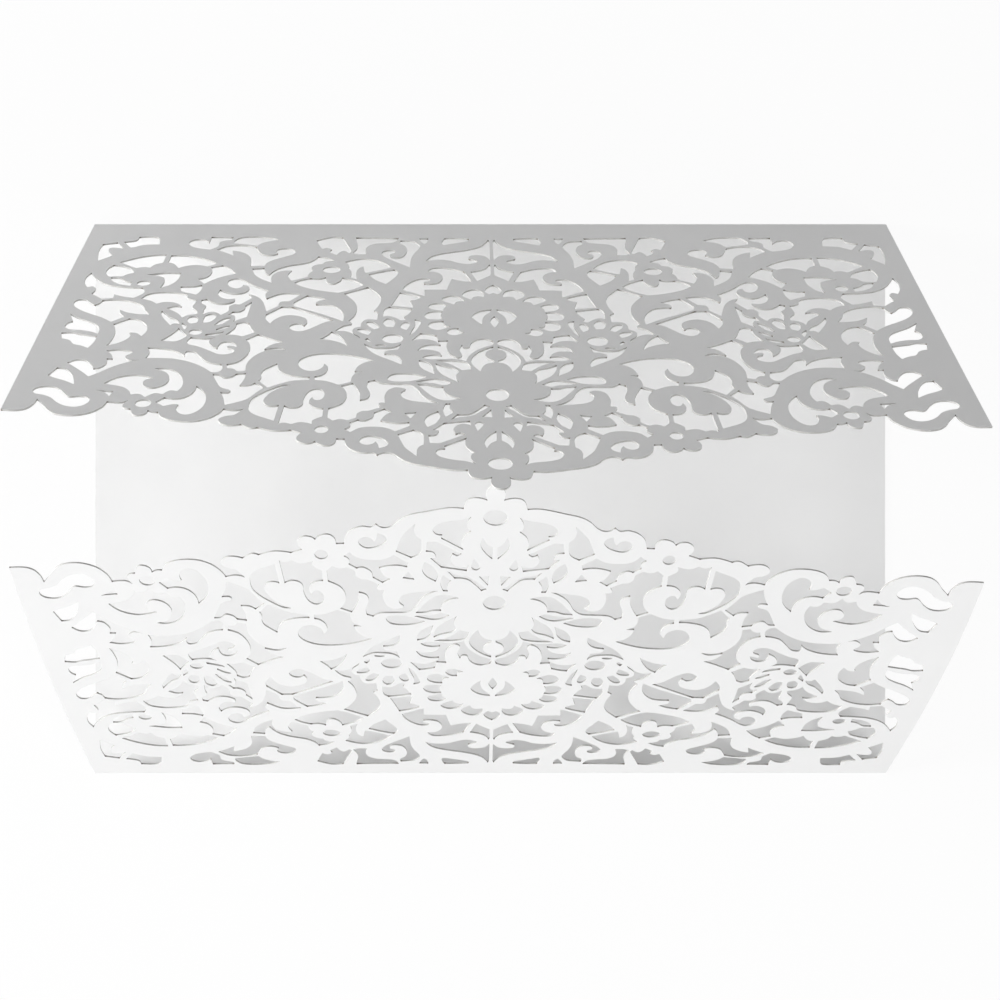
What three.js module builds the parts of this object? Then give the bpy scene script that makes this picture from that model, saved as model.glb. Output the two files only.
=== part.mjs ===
// Gatefold invitation: one sheet of white card with a plain back panel and two laser cut lace flaps.
// Millimetres, +Z up. The folds run along X, and the panel lies flat with its underside on Z = 0.
import * as THREE from 'three';

const panel_width = 184;
const panel_height = 127.7;
const sheet_thickness = 0.35;
const flap_length = 108.3;

// Inner radius of the two folds, and the number of flat steps in each
const fold_radius = 0.45;
const fold_steps = 5;

// The flap is whole card up to the margin, and the first cuts keep this clear of it
const plain_margin = 6;
const cut_clearance = 1.2;

// How each flap stands, in degrees: the angle above the panel at the fold, how far the free edge droops,
// and how much the right hand side leads the left one near the fold and near the free edge.
// In millimetres: how far the free edge leans to the right, and how much nearer the lace is to its fold.
const top_stance = { side: 1, angle: 55.9, droop: 0, twist: -1.6, untwist: 0.8, lean: 0.15, nearer: 0 };
const bottom_stance = { side: -1, angle: 56, droop: 18.7, twist: 1.2, untwist: 0, lean: -0.6, nearer: 2.3 };

// Size in square millimetres of the smallest bump that the drawn outlines keep
const least_bump = 3.8;

const card_colour = 0xf2f2f1;
const card_roughness = 0.85;

// The lace is drawn for the right half of a flap: distance from the centre line, distance from the fold.
// A third value of 1 marks a sharp corner of the cut.
const free_edge = [
  [0, 108.3], [0.9, 108.0], [1.6, 107.0], [1.75, 105.9], [1.5, 104.7, 1], [2.6, 105.1], [4.0, 105.2],
  [5.2, 104.6], [5.8, 102.6, 1], [8.5, 102.7], [13, 101.6], [15.5, 100.9], [17.3, 99.8],
  [18.6, 98.3], [19.7, 97.6], [20.9, 97.6], [21.9, 98.4, 1], [22.9, 97.6], [24.4, 97.8], [26.2, 97.1],
  [27.5, 95.6], [28.0, 93.3, 1], [29.5, 93.2, 1], [29.7, 94.6], [30.5, 95.5], [31.6, 95.6], [32.8, 95.0],
  [33.3, 94.2, 1], [34.1, 94.9], [35.4, 95], [36.5, 94.2], [36.7, 92.9], [35.9, 91.6, 1],
  [38.1, 90.6, 1], [39.6, 90.9], [41.5, 90.9], [44.2, 89.9, 1], [45.5, 90.2], [47.3, 88.9, 1],
  [48.5, 89.3], [50, 89.3], [51.2, 88.5], [51.5, 87.2], [50.3, 86.2], [48.9, 85.8], [47.4, 83.6, 1],
  [49.1, 84.1], [51.1, 83.6, 1], [51.8, 85.2], [53.4, 87], [55.6, 88.1], [58, 88.3], [60.3, 87.9],
  [62.1, 86.9], [63.0, 85.2, 1], [64.0, 85.2], [65.0, 84.6, 1], [65.2, 85.7], [66.2, 86.4],
  [67.4, 86.3], [68.3, 84.2, 1], [69.4, 84.0], [70.0, 83.1], [69.2, 81.2, 1], [70.6, 82.0],
  [73.1, 81.7, 1], [73.6, 83.6], [75.1, 85.5], [77.2, 86.6], [79.5, 86.9], [81.8, 86.4],
  [83.4, 85.1], [84.6, 83.3], [86.2, 81.3, 1], [86.6, 83.3], [87.6, 84.8], [89.2, 85.4], [92, 85.3, 1],
];

// Cuts next to the fold
const fold_row = [
  [[0.4, 9.6], [0.7, 8.7, 1], [1.3, 10.2], [2.4, 12.0], [4.2, 13.3], [6.5, 14.3], [9, 15.1],
    [11.6, 16.1], [13.5, 17.5], [14.7, 19.9, 1], [13.2, 19.3], [11.2, 19.1], [9.2, 19.6], [7.3, 20.7],
    [5.6, 21.2], [4.1, 20.8], [3.2, 19.8], [5.1, 18.6, 1], [5.2, 17.6], [4.4, 16.8], [3.0, 16.7],
    [1.5, 17.3], [0.4, 19.2, 1]],
  [[0.4, 21.9], [0.65, 21.4, 1], [1.4, 23.1], [2.7, 24.2], [4.8, 25.0, 1], [3.4, 29.4, 1],
    [1.8, 27.9], [0.4, 26.6, 1]],
  [[5.1, 8.2, 1], [8, 7.8], [10.6, 7.9, 1], [11.2, 10.0], [10.9, 11.5, 1], [8.5, 10.7], [5.2, 9.3]],
  [[14.3, 8.0, 1], [16.4, 8.1, 1], [15.9, 9.8], [15.2, 10.9, 1], [14.5, 9.9]],
  [[16.1, 12.0], [16.9, 10.3], [18.1, 9.5], [20.6, 9.2, 1], [20.6, 10.9], [19.5, 12], [19, 14],
    [19.2, 16.0], [20.1, 17.7], [21.5, 18.1], [22.5, 17.6], [22.7, 16.4], [21.7, 15.8, 1],
    [21.7, 14.7], [22.9, 14.2], [24.2, 14.8], [24.6, 16.1], [23.7, 17.9], [22, 19.6], [18.1, 23.0, 1],
    [18, 19], [17.4, 16.1], [16.5, 13.9]],
  [[21, 7.9, 1], [30.8, 7.6, 1], [30.6, 9.4], [30.2, 11.5], [30.3, 13.6], [31.1, 15.7, 1],
    [29.8, 16.4], [27.9, 16.4, 1], [28.3, 13.8], [27.7, 12.0], [26.2, 10.9], [24, 10.6], [22, 10.0]],
  [[33.8, 7.7, 1], [36.5, 7.4], [39.7, 9.3, 1], [38.8, 12], [38.1, 13.8, 1], [37.0, 13.2],
    [35.9, 14.0, 1], [36.2, 15.4], [34.6, 16.9, 1], [34.0, 15.4], [33.1, 14.7], [31.9, 15.9, 1],
    [31.4, 15.1], [32.4, 11.8]],
  [[34.9, 19.8, 1], [36.5, 18.5], [38.6, 17.7, 1], [39.5, 19.6], [41.3, 21.1], [44.5, 22.3],
    [46.7, 23.8], [48.0, 25.6], [48.7, 27.1], [49.5, 26.0], [50.0, 23.7, 1], [52.6, 24.1, 1],
    [51.7, 27.1], [50, 29.2], [47.6, 31.0, 1], [48, 28.5], [47.5, 26.6], [46.1, 25.2],
    [43.9, 24.9, 1], [44.5, 27.3], [43.5, 29.9, 1], [40.2, 28.0, 1], [40, 26.4], [39.2, 25.0, 1],
    [39.7, 23.3], [38.9, 22.0], [37.3, 21.6, 1], [36.9, 20.5]],
  [[22.2, 23.1, 1], [23.6, 21.1], [25.6, 19.5], [28.3, 18.7], [30.8, 19.4], [32.5, 20.5, 1],
    [31.5, 22.2], [31.5, 23.5], [30.8, 25.4], [30.9, 28.0, 1], [29.3, 29.1, 1], [29.7, 27.0],
    [29.7, 25.0], [29.3, 23.6], [28.3, 22.7, 1], [28.1, 24.2], [27.8, 25.8, 1], [25, 24.7]],
  [[20.8, 26.9], [20.7, 25.3], [21.5, 24.1, 1], [24.2, 25.1], [27, 26.6, 1], [25.6, 29.0],
    [23.1, 31.2, 1], [21.7, 28.8]],
  [[27.8, 31.8, 1], [29.6, 29.9], [32.6, 28.2, 1], [33, 29.8], [34.3, 31.2], [35.6, 30.7],
    [36.2, 28.1, 1], [37.5, 28.8], [39.4, 28.6, 1], [41.3, 29.5], [42.8, 30.9, 1], [41.5, 32.3],
    [39, 33.8], [35.8, 34.9], [33, 35.5, 1], [30, 33.8]],
  [[43.9, 15.6], [44.5, 14.2], [46, 13.5], [47.6, 13.8], [48.3, 15.0], [47.8, 16.2, 1], [48.8, 17.0],
    [50.3, 17.0], [51.6, 16.1], [52.3, 14.6], [52.9, 12.9, 1], [55, 12.1], [57.5, 11.9],
    [59.8, 12.5], [61.7, 14.4, 1], [59.8, 15.7], [57.6, 17.4, 1], [57.9, 15.9], [58.1, 14.8, 1],
    [56.3, 15.4], [54.5, 16.9], [53.5, 19], [53.2, 22.8, 1], [50.1, 22.6, 1], [49.6, 20.9],
    [48.2, 19.3], [46, 17.8], [44.4, 16.7]],
  [[48.2, 9.0, 1], [50, 7.9], [52.5, 7.3], [55.2, 7.2], [57.2, 7.8], [58.3, 9.5], [58.2, 10.9, 1],
    [52.8, 12.1, 1], [51.9, 10.7], [50.3, 9.7]],
  [[58.8, 7.6, 1], [63.8, 7.4, 1], [63.9, 10.4, 1], [65, 9.2], [66.6, 8.7], [68.1, 9.4],
    [68.5, 11.1], [67.4, 12.8], [65.4, 13.8], [63.1, 14.3, 1], [61.6, 12.4], [61.6, 10.6],
    [60.7, 9.6], [59.2, 9.0]],
  [[75.8, 8.0], [77.5, 7.3], [80.3, 7.5, 1], [80.5, 9.1], [81.5, 9.8], [83.3, 10.3, 1],
    [81.2, 13.5, 1], [80.2, 12.9], [78.4, 11.9], [75.0, 11.6, 1]],
  [[84.7, 10.6, 1], [87.8, 11.6, 1], [88.0, 15.5], [87.2, 20.5, 1], [84.5, 17.7, 1], [85.7, 15.6],
    [85.9, 13.9], [84.9, 13.4], [82.6, 14, 1]],
  [[60.6, 21.6, 1], [62.4, 20.0], [64.5, 18.8], [67, 17.8], [69.5, 17.4], [71.4, 17.5, 1],
    [71.5, 21.0, 1], [70.2, 21.8], [69.4, 22.9], [68.9, 24.1, 1], [67.2, 22.9], [65, 22.4],
    [62.6, 23.2, 1]],
  [[72.5, 17.2, 1], [75, 17.3], [77.5, 18.1], [80, 19.5], [82.2, 21.2, 1], [78, 24.2, 1],
    [76.5, 23.6], [75, 24, 1], [74.3, 22.4], [72.6, 21.3, 1]],
  [[55.8, 26.7, 1], [57.3, 24.4], [59.3, 22.5, 1], [61.7, 23.5, 1], [61.2, 26.0], [61.9, 28.2],
    [63.7, 29.4, 1], [62.1, 31.8, 1], [60.6, 29.9], [58.7, 28.2]],
  [[67.8, 26.6, 1], [71, 26.5], [75.1, 27.4, 1], [72.8, 28.0], [71.1, 28.9, 1],
    [70.8, 31], [71.2, 33.9, 1], [69.3, 32.4], [68.1, 30]],
  [[78.1, 26.6, 1], [79, 24.6], [81, 23.4], [83.2, 22.6, 1], [84.1, 24.4], [84.2, 26.3],
    [83.3, 28.5, 1], [80.2, 28.4, 1], [79.4, 27.3]],
  [[77.7, 31.3, 1], [79.2, 30.6], [80.8, 29.2], [82.6, 29.0, 1], [81.8, 30.9], [80, 32.3],
    [77.7, 32.9, 1]],
];

// Cuts of the sunflower, the daisy and the leaves around them
const middle_row = [
  [[2.1, 36.9, 1], [2.1, 35.3], [2.8, 34.0], [4.1, 33.4], [5.4, 33.9], [6.5, 35.2], [6.5, 36.6],
    [4.7, 38.2, 1], [4.3, 37.0], [3.2, 36.6]],
  [[6.1, 38.9, 1], [6.8, 37.5], [8, 36.6], [9.4, 36.5], [10.8, 37.5], [10.8, 38.7], [8.3, 40.4, 1],
    [8.0, 39.4], [7.2, 38.9]],
  [[9.8, 41.2, 1], [10.7, 40.1], [12, 39.9], [13.3, 40.4], [13.7, 41.6], [12.9, 42.6],
    [10.6, 43.3, 1], [10.5, 42.2]],
  [[10.7, 43.7, 1], [12.3, 43.5], [13.9, 44.2], [14.5, 45.5], [13.9, 46.8], [12.4, 47.1],
    [10.7, 46.9, 1], [11.1, 45.4]],
  [[10.5, 47.8, 1], [12, 47.9], [13.3, 48.7], [13.6, 50.0], [12.9, 51.2], [11.3, 51.6],
    [9.0, 50.1, 1], [10.2, 49.6]],
  [[7.4, 50.8, 1], [8.7, 50.9], [9.7, 52], [9.5, 53.2], [8.2, 53.8], [6.1, 52.6, 1], [7.2, 52.1]],
  [[0.5, 42.5, 1], [1.8, 42.7], [3.4, 43.6], [4.6, 45.4], [4.0, 47.2], [2.5, 49.1, 1], [2.5, 47],
    [2.0, 45.3], [0.9, 43.8]],
  [[6.2, 25.0, 1], [8.5, 23.7], [11.2, 23.0], [13.2, 23.3], [14.1, 24.9, 1], [12.3, 25.3],
    [11.1, 26.6], [10.9, 28.4], [11.7, 30.2], [13.2, 30.9], [14.8, 30.8, 1], [14.8, 30.0],
    [13.6, 29.4], [13.9, 28.6], [15.4, 28.4], [17.2, 29.5], [18.8, 31.8], [19.4, 33.9, 1],
    [14.6, 36.7, 1], [14.7, 33.7, 1], [9.9, 33.6, 1], [9.4, 30.8], [8.9, 28.5, 1], [6.6, 29.5],
    [4.5, 29.8, 1]],
  [[15.5, 37.2], [17.5, 36.0], [19.9, 35.1, 1], [20.6, 37.8], [21.6, 41.2, 1], [16.9, 42.0, 1],
    [17.2, 40.4], [17.6, 38.8, 1], [16.4, 38.4]],
  [[17.0, 42.9, 1], [19.5, 42.2], [21.9, 41.7, 1], [22.9, 43.0], [23.0, 46.2, 1], [21.6, 45.9],
    [20.2, 46.8], [19.4, 47.7, 1], [18.4, 47.4], [18.7, 46.1, 1], [17.8, 44.8]],
  [[26.8, 32.7, 1], [31.8, 35.9, 1], [30.2, 38.0], [29, 40.4], [28.6, 43], [29, 45.8],
    [30.1, 48.2, 1], [29.3, 49.4], [30.9, 50.3], [32, 51.6], [32.5, 52.7, 1], [30.7, 52.6],
    [29.2, 53.4], [27.3, 55.7, 1], [27.5, 54.8], [28.7, 53.4], [29, 52], [28.5, 51.1],
    [27.4, 50.6, 1], [27.3, 48.8], [26.3, 47.5], [24.2, 47.6, 1], [24.1, 44.4, 1], [25.0, 43.5, 1],
    [24.1, 41], [23.8, 38.3], [24.4, 36], [25.6, 34.2]],
  [[15.1, 48.0], [16.5, 47.2, 1], [16.3, 49.5], [16.9, 51.9], [17.3, 54, 1], [16.2, 52.3],
    [15.6, 50.4]],
  [[17.4, 49.8], [17.5, 48.7], [18.4, 48.4], [19.2, 49.4], [19.2, 50.9], [18.0, 51.8, 1]],
  [[20.4, 48.7], [21, 47.3], [22, 46.9], [22.8, 48], [22.8, 49.3], [22.2, 50.5, 1], [20.7, 50.6, 1]],
  [[23.5, 51.1, 1], [24.1, 49.6], [25.2, 48.5], [26.3, 48.6], [26.1, 50], [24.6, 51.7, 1]],
  [[25.3, 52.6], [26.2, 51.7], [27.9, 51.6], [27.9, 52.5], [27, 53.4], [25.7, 54.1, 1]],
  [[25.2, 57.2, 1], [25.1, 56.3], [25.8, 55.5, 1], [26.3, 56.1]],
  [[33.2, 52.9, 1], [33.9, 54.3], [35.3, 56.1, 1], [33, 56.6], [31, 57.6], [29.6, 58.9, 1],
    [30.2, 56.9], [31.6, 54.3]],
  [[31.2, 48.4, 1], [31.2, 45.7], [32.1, 43.2], [34, 41.3], [37.3, 40.9, 1], [37.4, 40.0],
    [36.6, 39.3], [35.3, 38.7, 1], [37.2, 37.6], [39.5, 36.9, 1], [42.0, 40.2], [41.8, 41.9, 1],
    [34.8, 45.9]],
  [[33.1, 48.1, 1], [42.1, 42.3, 1], [44.4, 42.2, 1], [47.3, 45.8, 1], [47.1, 47.8],
    [46.0, 49.7, 1], [45.3, 48.0], [44.1, 46.6], [42.4, 45.9], [40.4, 46.3], [38.9, 47.4],
    [38.5, 49.0], [39.0, 50.4, 1], [40.1, 49.5], [41.5, 50.0], [42.0, 51.3], [41.0, 52.6],
    [39.6, 52.9], [38.0, 52.0], [36.5, 50.5], [35.0, 49.0]],
  [[40.8, 36.4, 1], [43, 35.9], [45.3, 36.2], [47.9, 38.4, 1], [48.4, 36.6], [47.8, 34.9, 1],
    [50, 33.4], [52.2, 31.5], [53.8, 29.8], [55.3, 29.0], [56.8, 29.8], [57.1, 31.3], [56.5, 32.9],
    [55.1, 33.8], [53.9, 33.2], [53.7, 32.1, 1], [52.5, 32.7], [52.1, 34.0], [52.8, 35.6],
    [54.7, 36.4], [56.6, 35.9], [58.2, 34.5, 1], [58.5, 36.2], [57.8, 37.9], [56.3, 38.9],
    [54.6, 38.6, 1], [54.7, 40.0], [56.2, 41.0], [58.3, 40.9], [60.5, 39.0, 1], [61.5, 39.4, 1],
    [61.3, 40.9], [60.2, 42.1], [60.4, 43.5], [60.3, 46.1, 1], [59.2, 45.0], [57.8, 45.0],
    [56.6, 46.2, 1], [55.2, 44.2], [55.4, 42.5], [54.6, 41.4], [53.2, 41.4, 1], [51.0, 38.3, 1],
    [51.9, 36.6, 1], [50.2, 37.5], [48.8, 39.4], [48.0, 41.9], [47.4, 44.4, 1], [45.1, 41.9, 1],
    [45.1, 40.6], [44.6, 39.8], [43.0, 39.6, 1]],
  [[50.8, 40.1, 1], [52.0, 41.9, 1], [52.0, 43.3], [52.9, 44.5], [54.3, 44.7, 1], [55.2, 46.2, 1],
    [53.9, 46.3], [53.5, 47.4], [53.7, 49.1, 1], [51.1, 46.8, 1], [51.0, 43.8]],
  [[48.7, 53.6, 1], [49.5, 52.1], [50.3, 49.8, 1], [51.5, 49.2], [52.9, 50.0, 1], [53.0, 51.8],
    [54.5, 54.8, 1], [52.8, 54.8], [51.0, 55.4, 1]],
  [[54.3, 47.3], [55.5, 47.6], [56.6, 49.0], [57.4, 50.7, 1], [56.1, 50.4], [55, 49]],
  [[57.4, 46.8], [58.3, 45.7], [59.6, 46.4], [59.9, 48.0], [59.8, 49.6, 1], [58.7, 49.5],
    [57.8, 48.3]],
  [[60.9, 48.9], [61.2, 47.4], [62.2, 46.9], [63.1, 47.6], [63, 49.2], [62.3, 50.2, 1],
    [61.1, 49.8, 1]],
  [[53.9, 51.0], [54.9, 51.0], [56.7, 52.4, 1], [56.6, 53.0, 1], [55, 52.2]],
  [[54.9, 53.5, 1], [58.5, 54.7, 1], [58.6, 55.4, 1], [56.2, 55.0]],
  [[62.8, 51.3], [64.0, 49.9, 1], [63.9, 51.0], [63.1, 52.8, 1]],
  [[62.4, 39.6, 1], [64.4, 38.7], [65.1, 37.0], [67.1, 36.2], [69.5, 35.9], [71.7, 36.2],
    [73.4, 37.1], [74.3, 39.1, 1], [72.2, 40.0], [70.7, 41.4, 1], [69.3, 40.6], [67.6, 40.6],
    [66.2, 41.3], [65.2, 42.6, 1], [66.7, 42.4], [68.2, 43.4, 1], [66.4, 44.8], [65.1, 46.2],
    [64.4, 47.7, 1], [63.3, 46.4], [61.5, 45.9, 1], [61.8, 44.4], [62.9, 43.0], [62.8, 41.6]],
  [[62.2, 33.2], [62.5, 32.3, 1], [64, 33.0], [66.9, 33.2, 1], [66.5, 35.4, 1], [63.1, 37.0, 1],
    [62.4, 35.3]],
  [[69.0, 44.6, 1], [69.0, 45.8], [68.1, 48], [66.3, 50.9, 1], [65.6, 50.2], [64.4, 50.4, 1],
    [65.2, 48.7], [66.8, 47.5], [67.7, 46.4]],
  [[62.1, 55.4, 1], [64.3, 52.2, 1], [65.1, 54.3], [67.1, 57.6, 1], [64.4, 57.9], [63.2, 57.1]],
  [[74.2, 36.2], [74.9, 33.9, 1], [78, 33.7], [80.8, 33.2], [83, 32.2], [84.9, 30.6], [86.3, 28.6],
    [87.3, 26.7, 1], [88.0, 29.0], [87.7, 31.7], [86.7, 33.9, 1], [85.5, 33.5], [84.7, 34.7],
    [85.2, 37.0, 1], [84.0, 38.0], [82.7, 39.3, 1], [80.2, 39.0, 1], [80.4, 37.2, 1], [78.2, 38.2],
    [76, 38.8, 1]],
  [[71.2, 46.3, 1], [72.5, 44.4], [73.4, 42.3], [75.3, 40.8], [77.5, 39.9], [80, 39.6],
    [82.2, 40.0, 1], [82.6, 41.3], [83.4, 42.2, 1], [84.5, 41.2], [85.8, 39.8], [87.4, 39.8],
    [88, 41.2], [87.4, 43], [85.8, 44.7], [83.5, 46.3], [81, 47.8], [78.6, 49.8, 1],
    [76.2, 47.5, 1], [77.3, 46.0], [77.8, 44.3, 1], [76, 45.5], [73.8, 46.2]],
  [[80.2, 55.0, 1], [80.3, 53.0], [81.2, 51.2], [83, 49.8], [85.3, 48.4], [87.6, 46.4, 1],
    [86.4, 49.6, 1], [87.3, 50.6], [87.4, 52.2], [86.3, 53.3], [84.2, 53.5], [82, 54.1]],
  [[80.1, 56.2, 1], [82.3, 55.6], [84, 55.2], [85.5, 54.6], [87.6, 54.8, 1], [87.0, 57.2, 1],
    [85.2, 58.0], [84.2, 59.5], [82.6, 60.1], [81, 61.1, 1], [80.3, 58.8]],
  [[70.6, 53.6], [71, 51.2], [72, 49.7], [73.4, 48.6], [75.1, 48.2, 1], [77.9, 50.8, 1],
    [77.2, 52.5], [76.8, 54.8], [76.9, 57.3], [77.5, 60.1, 1], [75.5, 58.9], [74, 57.2],
    [73.5, 55.5], [73.9, 54.5, 1], [72.6, 54.5], [71.3, 55.8, 1]],
];

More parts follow.
